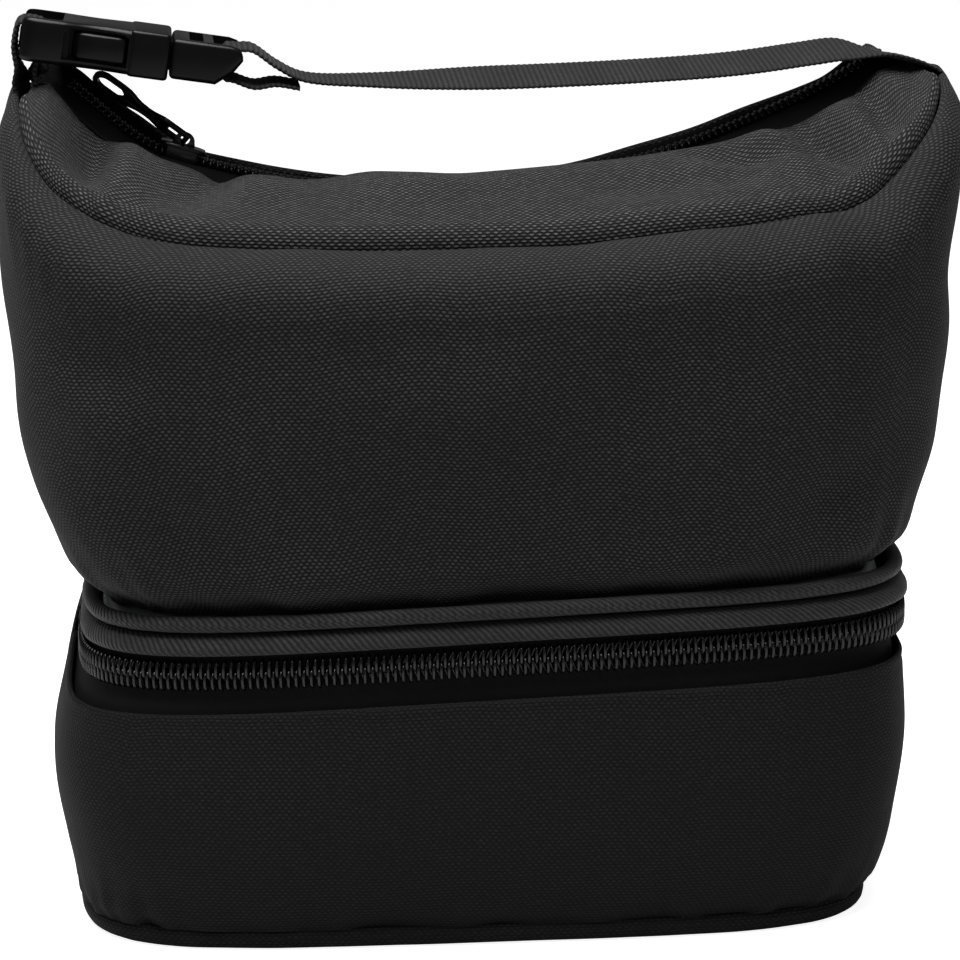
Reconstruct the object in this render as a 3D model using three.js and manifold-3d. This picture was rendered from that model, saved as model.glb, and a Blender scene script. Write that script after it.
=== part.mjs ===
// Insulated food bag with two zipped compartments and a webbing handle with a side-release buckle.
// Millimetres, +Z up. The origin is the middle of the base on the floor, and the front faces -Y.
import * as THREE from "three";
import { mergeVertices } from "three/addons/utils/BufferGeometryUtils.js";
import Module from "manifold-3d";

const wasm = await Module();
wasm.setup();

// Clearances
const GAP = 0.3; // between pieces that touch
const LOOSE = 0.6; // between the layers of a wall, which are only sewn at their edges
const RUN = 0.3; // running clearance of the sliders and the latch arms
const SLIDER_RUN = 0.5; // from a slider's plates to the tape and coils, which curve along it

// Cloth layers
const FABRIC = 1.0; // outer fabric
const FOAM = 4.0; // insulation in the walls
const LINING = 0.8; // inner lining
const TAPE = 0.6; // zip tape

// Heights of the seams on the body, before the waist leans
const BASE_CORD_RADIUS = 3.2; // piping round the base
const PARTING = 73.6; // line where the two compartments part
const LOWER_TOP = PARTING - 9.1; // top edge of the lower shell
const WAIST_CORD_RADIUS = 2.5; // piping above the band
const WAIST_CORD_INSET = -0.6; // its outer side stands this far out of the outline
const RIM = 182; // front rim of the upper compartment
const EAR_RISE = 31; // how far the rim climbs from there to the two ears
const RIM_SAG = 2; // dip in the middle of the front rim
const BACK_SAG = 10; // the same at the back, whose wall slumps
const EAR_TOP = RIM + EAR_RISE;

// Half sizes of the body where it is largest, and their shares up the body.
// The rise counts 0 at the floor, 1 at the parting and 2 at the top of the ears.
const HALF_WIDTH = 119.6;
const HALF_DEPTH = 73.6;
const OUTLINE = [
  { rise: 0, width: 0.856, depth: 0.905 },
  { rise: 0.11, width: 0.869, depth: 0.916 },
  { rise: 0.33, width: 0.897, depth: 0.967 },
  { rise: 0.6, width: 0.921, depth: 0.984 },
  { rise: 0.9, width: 0.9, depth: 0.951 },
  { rise: 1.1, width: 0.874, depth: 0.938 },
  { rise: 1.18, width: 0.91, depth: 0.959 },
  { rise: 1.34, width: 0.968, depth: 0.992 },
  { rise: 1.53, width: 0.994, depth: 1 },
  { rise: 1.7, width: 1.003, depth: 0.992 },
  { rise: 1.9, width: 1.012, depth: 0.965 },
  { rise: 2, width: 0.994, depth: 0.938 },
].map(({ rise, width, depth }) => ({
  z: rise < 1 ? PARTING * rise : PARTING + (EAR_TOP - PARTING) * (rise - 1),
  width: width * HALF_WIDTH,
  depth: depth * HALF_DEPTH,
}));
const SQUARENESS = 4.6; // power of the rounded outline: 2 is an ellipse, more is squarer
const CORNER_GATHER = 0.12; // draws the steps round the body together at its corners
const WAIST_LEAN = 0.033; // rise of the waist per mm towards the right
const RIM_LEAN = 0.006; // what is left of that lean at the rim
const RIM_ROLL = 7; // how far the front rim rolls in over the top
const EAR_ROLL = 1.5; // the same at the ears
const ROLL_HEIGHT = 9;

// Base and divider
const BASE_PANEL = 1.2;
const BASE_BOARD = 2.0;
const BASE_FOAM = 5.0;
const DIVIDER_FOAM = 6.0;

// Top zip: a coil zip that sags between the ears in one arc
const ZIP_ARC_RADIUS = 215;
const ZIP_LOW_X = -10.5;
const ZIP_LOW_Z = RIM + 2.5;
const ZIP_HALF_LENGTH = 88;
const ZIP_END_ROOM = 7; // from the zip's end to where the top panels draw together
const PANEL_EDGE = 8; // from the middle of the zip to the edge of each top panel
const EAR_PANEL_Z = EAR_TOP + 1.4; // height of the top panels where they meet at the ears
const TOP_PAD = 3.0; // padding under the top panels
const FRONT_CROWN = 7.5; // how far the front panel puffs up between the rim and the zip
const BACK_CROWN = 1.5;

// Coil zips
const COIL_SLOT = 1.2; // between the two coils
const COIL_WIDTH = 2.6;
const COIL_HEIGHT = 2.2;
const LOWER_TAPE_INSET = 2.8; // from the body outline in to the face of the lower zip's tape
const ZIP_END_STEPS = 2; // the lower zip stops this far behind the middle of each side

// Zip sliders and their pulls
const SLIDER_LENGTH = 12;
const SLIDER_INSIDE = COIL_SLOT / 2 + COIL_WIDTH + RUN; // from the zip's middle to each flange
const SLIDER_PLATE = 1.2;
const SLIDER_LIP = 1.0; // flange beside the coils
const SLIDER_WEB = 0.6; // wedge that stands between the coils
const SLIDER_HALF_WIDTH = SLIDER_INSIDE + SLIDER_LIP;
const BRIDGE_WIDTH = 2.0; // arch that holds the pull
const BRIDGE_HOLE = 2.4;
const BRIDGE_WALL = 1.1;
const PULL_LENGTH = 28.5;
const PULL_THICKNESS = 1.2;
const TOP_SLIDER_X = -72.8;
const TOP_PULL_LEAN = 31; // degrees above the horizontal, towards the left ear
const BAND_BOTTOM = PARTING + SLIDER_HALF_WIDTH + GAP; // twill band above the lower zip
const BAND_TOP = BAND_BOTTOM + 5;
const LOWER_SLIDER_Y = 22; // closed: at the rear end of the zip, on the right side
const SIDE_BOW_RADIUS = 864; // bow of the side that the slider runs along

// Webbing
const WEBBING_WIDTH = 25;
const WEBBING = 1.4;
const STRAP_FOOT_Z = EAR_TOP - 7.5; // lower end of the handle's webbing inside the ears
const ANCHOR_FOOT_Z = EAR_TOP - 11.6;
const ANCHOR_TOP_Z = EAR_TOP - 3;

// Side-release buckle, along its own X from the left bar to the right bar
const BUCKLE_CENTRE = new THREE.Vector3(33.1 - HALF_WIDTH, 0, EAR_TOP + 7.8);
const BUCKLE_TILT = 8.5; // degrees that its right end hangs lower
const BUCKLE_WIDTH = 31;
const BUCKLE_THICKNESS = 11.2;
const BUCKLE_ROUND = 1.4;
const RECEPTACLE_LENGTH = 38;
const COLLAR_LENGTH = 10; // thicker mouth of the receptacle
const COLLAR_PROUD = 0.6;
const BAR = 4; // bar that the webbing goes round
const BAR_THICKNESS = 5;
const BAR_SLOT = 5;
const POCKET_START = 12.5;
const POCKET_HALF_WIDTH = 13.3;
const POCKET_HALF_HEIGHT = 3.9;
const WINDOW_START = 11;
const WINDOW_END = 27.4;
const WINDOW_HALF_HEIGHT = 4.2;
const PLUG_LENGTH = 18.2;
const PLUG_THICKNESS = 10.2;
const PLUG_BAR = 3.4;
const PLUG_SLOT = 3.6;
const TONGUE_LENGTH = 4;
const GUIDE_HALF_WIDTH = 2.4;
const ARM_ROOT_INNER = 9.2; // the latch arms spring from the plug's face
const ARM_ROOT_THICKNESS = 3.0;
const ARM_SWING_ROOM = 0.8; // the arms' roots come this much closer to the tongue

// Mesh counts
const ROUND = 40; // steps round the body
const DEG = Math.PI / 180;

// Colours and finishes
const FINISH = {
  outer: { color: 0x1d1d1e, roughness: 0.92, metalness: 0 },
  trim: { color: 0x161617, roughness: 0.85, metalness: 0 },
  webbing: { color: 0x232324, roughness: 0.8, metalness: 0 },
  plastic: { color: 0x121213, roughness: 0.42, metalness: 0 },
  coil: { color: 0x0f0f10, roughness: 0.3, metalness: 0 },
  metal: { color: 0x1a1a1b, roughness: 0.35, metalness: 0.6 },
  lining: { color: 0x8d9196, roughness: 0.45, metalness: 0 },
  foam: { color: 0xd9d9d6, roughness: 0.9, metalness: 0 },
  board: { color: 0x3a3a3a, roughness: 0.8, metalness: 0 },
};

const clamp = THREE.MathUtils.clamp;
const lerp = THREE.MathUtils.lerp;
const vec = (x, y, z) => new THREE.Vector3(x, y, z);

// A geometry from corner points and triangles, with equal corners joined and collapsed faces dropped
function closedGeometry(points, faces) {
  const index = [];
  const seen = new Map();
  const at = points.map((p) => {
    const key = [p.x, p.y, p.z].map((value) => Math.round(value * 1e4)).join();
    if (!seen.has(key)) seen.set(key, seen.size);
    return seen.get(key);
  });
  const place = new Float32Array(seen.size * 3);
  points.forEach((p, i) => place.set([p.x, p.y, p.z], at[i] * 3));
  for (const [a, b, c] of faces) {
    const corners = [at[a], at[b], at[c]];
    if (new Set(corners).size === 3) index.push(...corners);
  }
  const geometry = new THREE.BufferGeometry();
  geometry.setAttribute("position", new THREE.BufferAttribute(place, 3));
  geometry.setIndex(index);
  return geometry;
}

// A solid swept through `count` sections of `size` points each, closed on itself or capped at both ends.
// Sections list their points so that the path's direction crossed with the list's points outwards.
// The second half of each section is split along the other diagonal, so both faces of a sheet fold alike.
function sweep(count, size, closed, point) {
  const points = [];
  for (let i = 0; i < count; i++) {
    for (let k = 0; k < size; k++) points.push(point(i, k));
  }
  const at = (i, k) => (i % count) * size + (k % size);
  const faces = [];
  const quad = (a, b, c, d) => faces.push([a, b, c], [a, c, d]);
  const spans = closed ? count : count - 1;
  for (let i = 0; i < spans; i++) {
    for (let k = 0; k < size; k++) {
      const corners = [at(i, k), at(i + 1, k), at(i + 1, k + 1), at(i, k + 1)];
      if (k >= size / 2) corners.push(corners.shift());
      quad(...corners);
    }
  }
  if (!closed) {
    const end = count - 1;
    for (let k = 0; k < size / 2 - 1; k++) {
      const far = size - 1 - k;
      quad(at(0, k), at(0, k + 1), at(0, far - 1), at(0, far));
      quad(at(end, far), at(end, far - 1), at(end, k + 1), at(end, k));
    }
  }
  return closedGeometry(points, faces);
}

// Solid joins and cuts
function solidOf(geometry) {
  const bare = geometry.clone();
  bare.deleteAttribute("normal");
  bare.deleteAttribute("uv");
  const merged = mergeVertices(bare, 1e-4);
  return new wasm.Manifold(
    new wasm.Mesh({
      numProp: 3,
      vertProperties: merged.attributes.position.array,
      triVerts: new Uint32Array(merged.index.array),
    }),
  );
}

function geometryOf(solid) {
  const mesh = solid.getMesh();
  const geometry = new THREE.BufferGeometry();
  geometry.setAttribute("position", new THREE.BufferAttribute(mesh.vertProperties, 3));
  geometry.setIndex(new THREE.BufferAttribute(mesh.triVerts, 1));
  return geometry;
}

function join(...geometries) {
  return geometryOf(geometries.map(solidOf).reduce((whole, part) => whole.add(part)));
}

function cut(body, ...tools) {
  return geometryOf(tools.map(solidOf).reduce((whole, tool) => whole.subtract(tool), solidOf(body)));
}

// A box between two corners
function block(low, high) {
  const size = high.map((value, i) => value - low[i]);
  const middle = high.map((value, i) => (value + low[i]) / 2);
  return new THREE.BoxGeometry(...size).translate(...middle);
}

function meshOf(name, geometry, finish) {
  const mesh = new THREE.Mesh(geometry, new THREE.MeshStandardMaterial(FINISH[finish]));
  mesh.name = name;
  return mesh;
}

// Body form: smooth half sizes at a height, and the point of the wall there
function outlineAt(z, key) {
  const last = OUTLINE.length - 1;
  const above = OUTLINE.findIndex((station) => station.z > z);
  const i = above < 0 ? last - 1 : Math.max(above - 1, 0);
  const slope = (n) => {
    const low = OUTLINE[Math.max(n - 1, 0)];
    const high = OUTLINE[Math.min(n + 1, last)];
    return (high[key] - low[key]) / (high.z - low.z);
  };
  const low = OUTLINE[i];
  const high = OUTLINE[i + 1];
  const span = high.z - low.z;
  const t = clamp((z - low.z) / span, 0, 1);
  const rise = t * t * (3 - 2 * t);
  const ease = t * (1 - t);
  const bend = ease * (1 - t) * slope(i) - ease * t * slope(i + 1);
  return lerp(low[key], high[key], rise) + span * bend;
}

// Direction on the rounded outline, as shares of its half width and half depth
function outlineShare(step) {
  const angle = step + CORNER_GATHER * Math.sin(4 * step);
  const c = Math.cos(angle);
  const s = Math.sin(angle);
  const reach = (Math.abs(c) ** SQUARENESS + Math.abs(s) ** SQUARENESS) ** (-1 / SQUARENESS);
  return [reach * c, reach * s];
}

const LEVEL_TOP = 2 * BASE_CORD_RADIUS + BASE_FOAM; // the base below this stands level
const WAIST_TOP = BAND_TOP + GAP + 2 * WAIST_CORD_RADIUS + GAP;

function leanAt(z) {
  if (z < LOWER_TOP) return WAIST_LEAN * clamp((z - LEVEL_TOP) / (LOWER_TOP - LEVEL_TOP), 0, 1);
  return lerp(WAIST_LEAN, RIM_LEAN, clamp((z - WAIST_TOP) / (RIM - WAIST_TOP), 0, 1));
}

function wallPoint(angle, z, inset, drop = 0, outlineZ = z) {
  const [across, along] = outlineShare(angle);
  const x = across * (outlineAt(outlineZ, "width") - inset);
  const y = along * (outlineAt(outlineZ, "depth") - inset);
  return vec(x, y, z - drop + leanAt(z) * x);
}

// Rim of the upper compartment: level at front and back, up to an ear at each side
function rimAt(angle) {
  const [across, along] = outlineShare(angle);
  const climb = (1 - along ** 2) ** 1.1;
  const sag = along > 0 ? BACK_SAG : RIM_SAG;
  return RIM + EAR_RISE * climb - sag * (1 - across ** 2);
}

function rollAt(angle) {
  const along = outlineShare(angle)[1];
  return lerp(EAR_ROLL, RIM_ROLL, along ** 2);
}

// Heights of the outline that a wall between two levels passes through
function stationsBetween(low, high) {
  return OUTLINE.map((station) => station.z).filter((z) => z > low + 5 && z < high - 5);
}

// A wall of the body, from one height to another, as thick as its cloth.
// `shares` are its rows above the last of its fixed levels, and `upright` takes the outline at one height.
function wall({ from, to, inset, thick, levels = [], shares = [1], upright, rolled, arc }) {
  const [start, turn] = arc ?? [0, 2 * Math.PI];
  const closed = !arc;
  const count = Math.round((ROUND * turn) / (2 * Math.PI)) + (closed ? 0 : 1);
  const fixed = [from, ...levels];
  const last = fixed.at(-1);
  const rows = fixed.length + shares.length - 1;
  const topAt = (angle) => (typeof to === "function" ? to(angle) : to);
  const insetAt = (z) => (typeof inset === "function" ? inset(z) : inset);
  return sweep(count, 2 * (rows + 1), closed, (i, k) => {
    const angle = start + (turn * i) / (closed ? count : count - 1);
    const outer = k <= rows;
    const row = outer ? k : 2 * rows + 1 - k;
    const top = topAt(angle);
    const z = row < fixed.length ? fixed[row] : lerp(last, top, shares[row - fixed.length]);
    const near = rolled ? clamp(1 - (top - z) / ROLL_HEIGHT, 0, 1) : 0;
    const roll = rollAt(angle) * (1 - Math.sqrt(1 - near ** 2));
    const depth = insetAt(z) + roll + (outer ? 0 : thick);
    return wallPoint(angle, z, depth, outer ? 0 : thick * near, upright);
  });
}

// A flat layer of the floor or the divider, inside the body outline at one height
function layer(bottom, thick, inset) {
  const lean = leanAt(bottom);
  return sweep(ROUND, 4, true, (i, k) => {
    const angle = (2 * Math.PI * i) / ROUND;
    const [across, along] = outlineShare(angle);
    const size = k === 0 || k === 1 ? 1 : 0;
    const x = across * (outlineAt(bottom, "width") - inset) * size;
    const y = along * (outlineAt(bottom, "depth") - inset) * size;
    return vec(x, y, bottom + (k === 1 || k === 2 ? thick : 0) + lean * x);
  });
}

// A cord sewn round the body
function cord(z, radius, inset, sides) {
  return sweep(ROUND, sides, true, (i, k) => {
    const angle = (2 * Math.PI * i) / ROUND;
    const turn = (2 * Math.PI * k) / sides;
    const centre = wallPoint(angle, z, inset + radius);
    const out = wallPoint(angle, z, inset).sub(centre).normalize();
    out.z = 0;
    out.normalize();
    return centre.addScaledVector(out, radius * Math.cos(turn)).add(vec(0, 0, radius * Math.sin(turn)));
  });
}

// Top zip: height of its tape, and the arc's centre that the slider swings about
function zipHeight(x) {
  const across = x - ZIP_LOW_X;
  return ZIP_LOW_Z + ZIP_ARC_RADIUS - Math.sqrt(ZIP_ARC_RADIUS ** 2 - across ** 2);
}

// One half of the soft top, from the rim in to the zip
const PANEL_END = 3; // degrees left free at each ear
const EAR_PANEL_INSET = EAR_ROLL + FABRIC + 2 * WEBBING + 3 * GAP;
const PANEL_COLUMNS = 24;
const PANEL_ROWS = [0, 0.08, 0.5, 0.96, 1];

function panelPoint(angle, share, drop) {
  const along = outlineShare(angle)[1];
  const inset = lerp(EAR_PANEL_INSET, RIM_ROLL + FABRIC, along ** 2) + GAP;
  const rim = wallPoint(angle, rimAt(angle), inset);
  const ear = outlineAt(EAR_TOP, "width") - EAR_PANEL_INSET;
  const x = (rim.x / ear) * (ear - GAP * 8);
  const close = ZIP_HALF_LENGTH + ZIP_END_ROOM;
  const past = clamp((Math.abs(x) - close) / (ear - close), 0, 1);
  const ease = past * past * (3 - 2 * past);
  const side = Math.sign(Math.sin(angle));
  const edge = lerp(PANEL_EDGE, 2 * GAP, ease);
  const end = Math.sign(x) * close;
  const zipZ = past > 0 ? lerp(zipHeight(end), EAR_PANEL_Z, ease) : zipHeight(x);
  const inner = vec(x, side * edge, zipZ + GAP);
  const puff = along > 0 ? BACK_CROWN : FRONT_CROWN;
  const crown = puff * Math.sin(Math.PI * share ** 1.3) * (1 - past) * along ** 2;
  return rim.lerp(inner, share).add(vec(0, 0, crown - drop));
}

function topPanel(start, shares, top, thick) {
  const rows = shares.length - 1;
  return sweep(PANEL_COLUMNS + 1, 2 * (rows + 1), false, (i, k) => {
    const angle = (start + PANEL_END + ((180 - 2 * PANEL_END) * i) / PANEL_COLUMNS) * DEG;
    const upper = k <= rows;
    const row = upper ? k : 2 * rows + 1 - k;
    return panelPoint(angle, shares[row], top + (upper ? 0 : thick));
  });
}

// A strip that follows the top zip, on one side of it
function zipStrip(side, nearY, farY, bottom, top) {
  const steps = 20;
  const near = side > 0 ? nearY : -farY;
  const far = side > 0 ? farY : -nearY;
  return sweep(steps + 1, 4, false, (i, k) => {
    const x = lerp(-ZIP_HALF_LENGTH, ZIP_HALF_LENGTH, i / steps);
    const y = k === 0 || k === 3 ? near : far;
    return vec(x, y, zipHeight(x) + (k < 2 ? top : bottom));
  });
}

// A ribbon of webbing along points in the XZ plane
function ribbon(points, width, thick, steps) {
  const path = new THREE.CatmullRomCurve3(
    points.map(([x, z]) => vec(x, 0, z)),
    false,
    "centripetal",
  );
  return sweep(steps + 1, 4, false, (i, k) => {
    const at = path.getPointAt(i / steps);
    const along = path.getTangentAt(i / steps);
    const up = vec(-along.z, 0, along.x);
    const side = k === 0 || k === 3 ? -0.5 : 0.5;
    return at.addScaledVector(up, k < 2 ? thick / 2 : -thick / 2).add(vec(0, side * width, 0));
  });
}

// A rounded outline in the XY plane
function roundedShape(x0, x1, halfWidth, radius) {
  const shape = new THREE.Shape();
  shape.moveTo(x0 + radius, -halfWidth);
  shape.lineTo(x1 - radius, -halfWidth);
  shape.absarc(x1 - radius, -halfWidth + radius, radius, -Math.PI / 2, 0);
  shape.lineTo(x1, halfWidth - radius);
  shape.absarc(x1 - radius, halfWidth - radius, radius, 0, Math.PI / 2);
  shape.lineTo(x0 + radius, halfWidth);
  shape.absarc(x0 + radius, halfWidth - radius, radius, Math.PI / 2, Math.PI);
  shape.lineTo(x0, -halfWidth + radius);
  shape.absarc(x0 + radius, -halfWidth + radius, radius, Math.PI, 1.5 * Math.PI);
  return shape;
}

// A moulded block: an outline with soft edges above and below, centred on Z
function moulded(shape, thick, edge, segments = 3) {
  const geometry = new THREE.ExtrudeGeometry(shape, {
    depth: thick - 2 * edge,
    bevelEnabled: edge > 0,
    bevelThickness: edge,
    bevelSize: edge,
    bevelOffset: -edge,
    bevelSegments: 1,
    curveSegments: segments,
  });
  return geometry.translate(0, 0, -(thick - 2 * edge) / 2);
}

// The band stands out in the middle and tucks in at both edges
function bandInset(share) {
  return LOWER_TAPE_INSET - FABRIC - GAP - 2.2 * Math.sin(Math.PI * share);
}

// The lower zip goes round the front and both sides, and ends on the rear corners
const STEP = (2 * Math.PI) / ROUND;
const ZIP_ARC = [Math.PI - ZIP_END_STEPS * STEP, Math.PI + 2 * ZIP_END_STEPS * STEP];
const HINGE_ARC = [ZIP_END_STEPS * STEP, Math.PI - 2 * ZIP_END_STEPS * STEP];
const FOAM_INSET = FABRIC + LOOSE;
const LINING_INSET = FOAM_INSET + FOAM + LOOSE;

// One coil of the lower zip, stopping some steps short of the tape on the right side
function lowerCoil(bottom, short) {
  return wall({
    from: bottom,
    to: bottom + COIL_WIDTH,
    inset: LOWER_TAPE_INSET - GAP - COIL_HEIGHT,
    thick: COIL_HEIGHT,
    upright: PARTING,
    arc: [ZIP_ARC[0], ZIP_ARC[1] - short * STEP],
  });
}

// Base, walls and lining of the lower compartment
function lowerCompartment() {
  const pieces = new THREE.Group();
  const cordTop = 2 * BASE_CORD_RADIUS;
  const innerBase = 2 * BASE_CORD_RADIUS + 2 * GAP;
  const boardZ = BASE_PANEL + GAP;
  const padZ = boardZ + BASE_BOARD + GAP;
  const floorZ = padZ + BASE_FOAM + GAP;
  const foamTop = LOWER_TOP - 4;
  const liningTop = LOWER_TOP + 2;
  const tapeFoot = foamTop + 2 * GAP;
  const tapeTop = PARTING - COIL_SLOT / 2;
  const tapeBend = LOWER_TOP + GAP;
  const tapeTuck = FABRIC + GAP + outlineAt(PARTING, "depth") - outlineAt(LOWER_TOP, "depth");
  pieces.add(
    meshOf("base_panel", layer(0, BASE_PANEL, innerBase), "outer"),
    meshOf("base_board", layer(boardZ, BASE_BOARD, innerBase), "board"),
    meshOf("base_foam", layer(padZ, BASE_FOAM, innerBase), "foam"),
    meshOf("base_piping", cord(BASE_CORD_RADIUS, BASE_CORD_RADIUS, 0, 6), "trim"),
    meshOf(
      "lower_shell",
      wall({
        from: cordTop + GAP,
        to: LOWER_TOP,
        inset: 0,
        thick: FABRIC,
        levels: stationsBetween(cordTop, LOWER_TOP),
      }),
      "outer",
    ),
    meshOf(
      "lower_foam",
      wall({
        from: floorZ,
        to: foamTop,
        inset: FOAM_INSET,
        thick: FOAM,
        levels: stationsBetween(floorZ, foamTop),
      }),
      "foam",
    ),
    meshOf(
      "lower_lining",
      join(
        wall({
          from: floorZ,
          to: liningTop,
          inset: LINING_INSET,
          thick: LINING,
          levels: stationsBetween(floorZ, foamTop),
        }),
        layer(floorZ, LINING, LINING_INSET + LINING / 2),
      ),
      "lining",
    ),
    meshOf(
      "lower_zip_tape_lower",
      wall({
        from: tapeFoot,
        to: tapeTop,
        inset: (z) => (z > tapeBend ? LOWER_TAPE_INSET : tapeTuck),
        thick: TAPE,
        levels: [tapeBend, tapeBend + 3],
        upright: PARTING,
        arc: ZIP_ARC,
      }),
      "trim",
    ),
    meshOf("lower_zip_coil_lower", lowerCoil(tapeTop - COIL_WIDTH, 0), "coil"),
    meshOf(
      "hinge_tape",
      wall({
        from: LOWER_TOP - 6,
        to: BAND_BOTTOM - GAP,
        inset: -GAP - FABRIC,
        thick: FABRIC,
        levels: [LOWER_TOP],
        arc: HINGE_ARC,
      }),
      "trim",
    ),
  );
  return pieces;
}

// Divider, walls, soft top and lining of the upper compartment
function upperCompartment() {
  const pieces = new THREE.Group();
  const dividerZ = BAND_BOTTOM + SLIDER_PLATE + GAP;
  const dividerPadZ = dividerZ + FABRIC + GAP;
  const floorZ = dividerPadZ + DIVIDER_FOAM + GAP;
  const dividerInset = WAIST_CORD_INSET + 2 * WAIST_CORD_RADIUS + GAP;
  const foamFoot = WAIST_TOP + GAP;
  const shelf = stationsBetween(WAIST_TOP, RIM - ROLL_HEIGHT - 10);
  const below = (drop) => (angle) => rimAt(angle) - drop;
  pieces.add(
    meshOf("divider_panel", layer(dividerZ, FABRIC, dividerInset), "lining"),
    meshOf("divider_foam", layer(dividerPadZ, DIVIDER_FOAM, dividerInset + GAP), "foam"),
    // its top stop is just in front of the parked slider, so the lid lifts out of the slider
    meshOf("lower_zip_coil_upper", lowerCoil(PARTING + COIL_SLOT / 2, 1), "coil"),
    meshOf(
      "lower_zip_tape_upper",
      wall({
        from: PARTING + COIL_SLOT / 2,
        to: BAND_TOP,
        inset: LOWER_TAPE_INSET,
        thick: TAPE,
        upright: PARTING,
        arc: ZIP_ARC,
      }),
      "trim",
    ),
    meshOf(
      "waist_band",
      wall({
        from: BAND_BOTTOM,
        to: BAND_TOP,
        inset: (z) => bandInset((z - BAND_BOTTOM) / (BAND_TOP - BAND_BOTTOM)),
        thick: FABRIC,
        shares: [0.5, 1],
        upright: PARTING,
      }),
      "trim",
    ),
    meshOf(
      "waist_piping",
      cord(BAND_TOP + GAP + WAIST_CORD_RADIUS, WAIST_CORD_RADIUS, WAIST_CORD_INSET, 6),
      "trim",
    ),
    meshOf(
      "upper_shell",
      wall({
        from: WAIST_TOP,
        to: rimAt,
        inset: 0,
        thick: FABRIC,
        levels: shelf,
        shares: [0.4, 0.72, 0.87, 0.96, 1],
        rolled: true,
      }),
      "outer",
    ),
    meshOf(
      "upper_foam",
      wall({
        from: foamFoot,
        to: below(ROLL_HEIGHT + 2 * LOOSE),
        inset: FOAM_INSET,
        thick: FOAM,
        levels: shelf,
        shares: [0.5, 1],
      }),
      "foam",
    ),
    meshOf(
      "upper_lining",
      join(
        wall({
          from: floorZ,
          to: below(ROLL_HEIGHT + 4),
          inset: LINING_INSET,
          thick: LINING,
          levels: shelf,
        }),
        layer(floorZ, LINING, LINING_INSET + LINING / 2),
      ),
      "lining",
    ),
  );
  for (const [name, start, side] of [
    ["front", 180, -1],
    ["back", 0, 1],
  ]) {
    const tapeNear = COIL_SLOT / 2;
    const tapeFar = PANEL_EDGE - GAP;
    pieces.add(
      meshOf("top_panel_" + name, topPanel(start, PANEL_ROWS, 0, FABRIC), "outer"),
      meshOf("top_pad_" + name, topPanel(start, PANEL_ROWS.slice(1, -1), FABRIC + GAP, TOP_PAD), "foam"),
      meshOf("top_zip_tape_" + name, zipStrip(side, tapeNear, tapeFar, -TAPE, 0), "trim"),
      meshOf(
        "top_zip_coil_" + name,
        zipStrip(side, tapeNear, tapeNear + COIL_WIDTH, GAP, GAP + COIL_HEIGHT),
        "coil",
      ),
    );
  }
  return pieces;
}

// Webbing stubs sewn into the ear seams
function strapAnchors() {
  const pieces = new THREE.Group();
  const rimWidth = outlineAt(EAR_TOP, "width");
  const outer = rimWidth - EAR_ROLL - FABRIC - WEBBING - 2 * GAP;
  for (const [name, side] of [
    ["left", -1],
    ["right", 1],
  ]) {
    const near = Math.min(side * outer, side * (outer - WEBBING));
    const geometry = block(
      [near, -WEBBING_WIDTH / 2, ANCHOR_FOOT_Z],
      [near + WEBBING, WEBBING_WIDTH / 2, ANCHOR_TOP_Z],
    );
    pieces.add(meshOf("strap_anchor_" + name, geometry, "webbing"));
  }
  return pieces;
}

// Slider of a coil zip, which opens as it runs towards -X.
// Its outer plate faces +Z, and the tape's face is at Z 0.
function sliderGeometry() {
  const half = SLIDER_LENGTH / 2;
  const inside = SLIDER_INSIDE;
  const halfWidth = SLIDER_HALF_WIDTH;
  const under = GAP + COIL_HEIGHT + SLIDER_RUN;
  const top = under + SLIDER_PLATE;
  const back = -TAPE - SLIDER_RUN;
  const plate = moulded(roundedShape(-half, half, halfWidth, 2), SLIDER_PLATE, 0);
  const outerPlate = plate.clone().translate(0, 0, top - SLIDER_PLATE / 2);
  const innerPlate = plate.clone().translate(0, 0, back - SLIDER_PLATE / 2);
  const lips = [-1, 1].map((side) => {
    const ends = [side * inside, side * halfWidth].sort((a, b) => a - b);
    return block([-half + 2, ends[0], SLIDER_RUN], [half - 2, ends[1], under + 0.2]);
  });
  const web = block(
    [half - 5, -SLIDER_WEB / 2, back - SLIDER_PLATE / 2],
    [half - 1.5, SLIDER_WEB / 2, top - SLIDER_PLATE / 2],
  );
  const arch = new THREE.Shape();
  const reach = BRIDGE_HOLE / 2 + BRIDGE_WALL;
  arch.moveTo(-reach - 0.8, -0.2);
  arch.lineTo(reach + 0.8, -0.2);
  arch.lineTo(reach, BRIDGE_HOLE / 2 + 0.2);
  arch.absarc(0, BRIDGE_HOLE / 2 + 0.2, reach, 0, Math.PI);
  const hole = new THREE.Path();
  hole.absarc(0, BRIDGE_HOLE / 2 + 0.2, BRIDGE_HOLE / 2, 0, 2 * Math.PI);
  arch.holes.push(hole);
  const bridge = new THREE.ExtrudeGeometry(arch, {
    depth: BRIDGE_WIDTH,
    bevelEnabled: false,
    curveSegments: 5,
  });
  bridge.translate(0, 0, -BRIDGE_WIDTH / 2).rotateX(Math.PI / 2).translate(0, 0, top);
  return join(outerPlate, innerPlate, ...lips, web, bridge);
}

const PULL_AXIS = GAP + COIL_HEIGHT + SLIDER_RUN + SLIDER_PLATE + 0.2 + BRIDGE_HOLE / 2;

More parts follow.
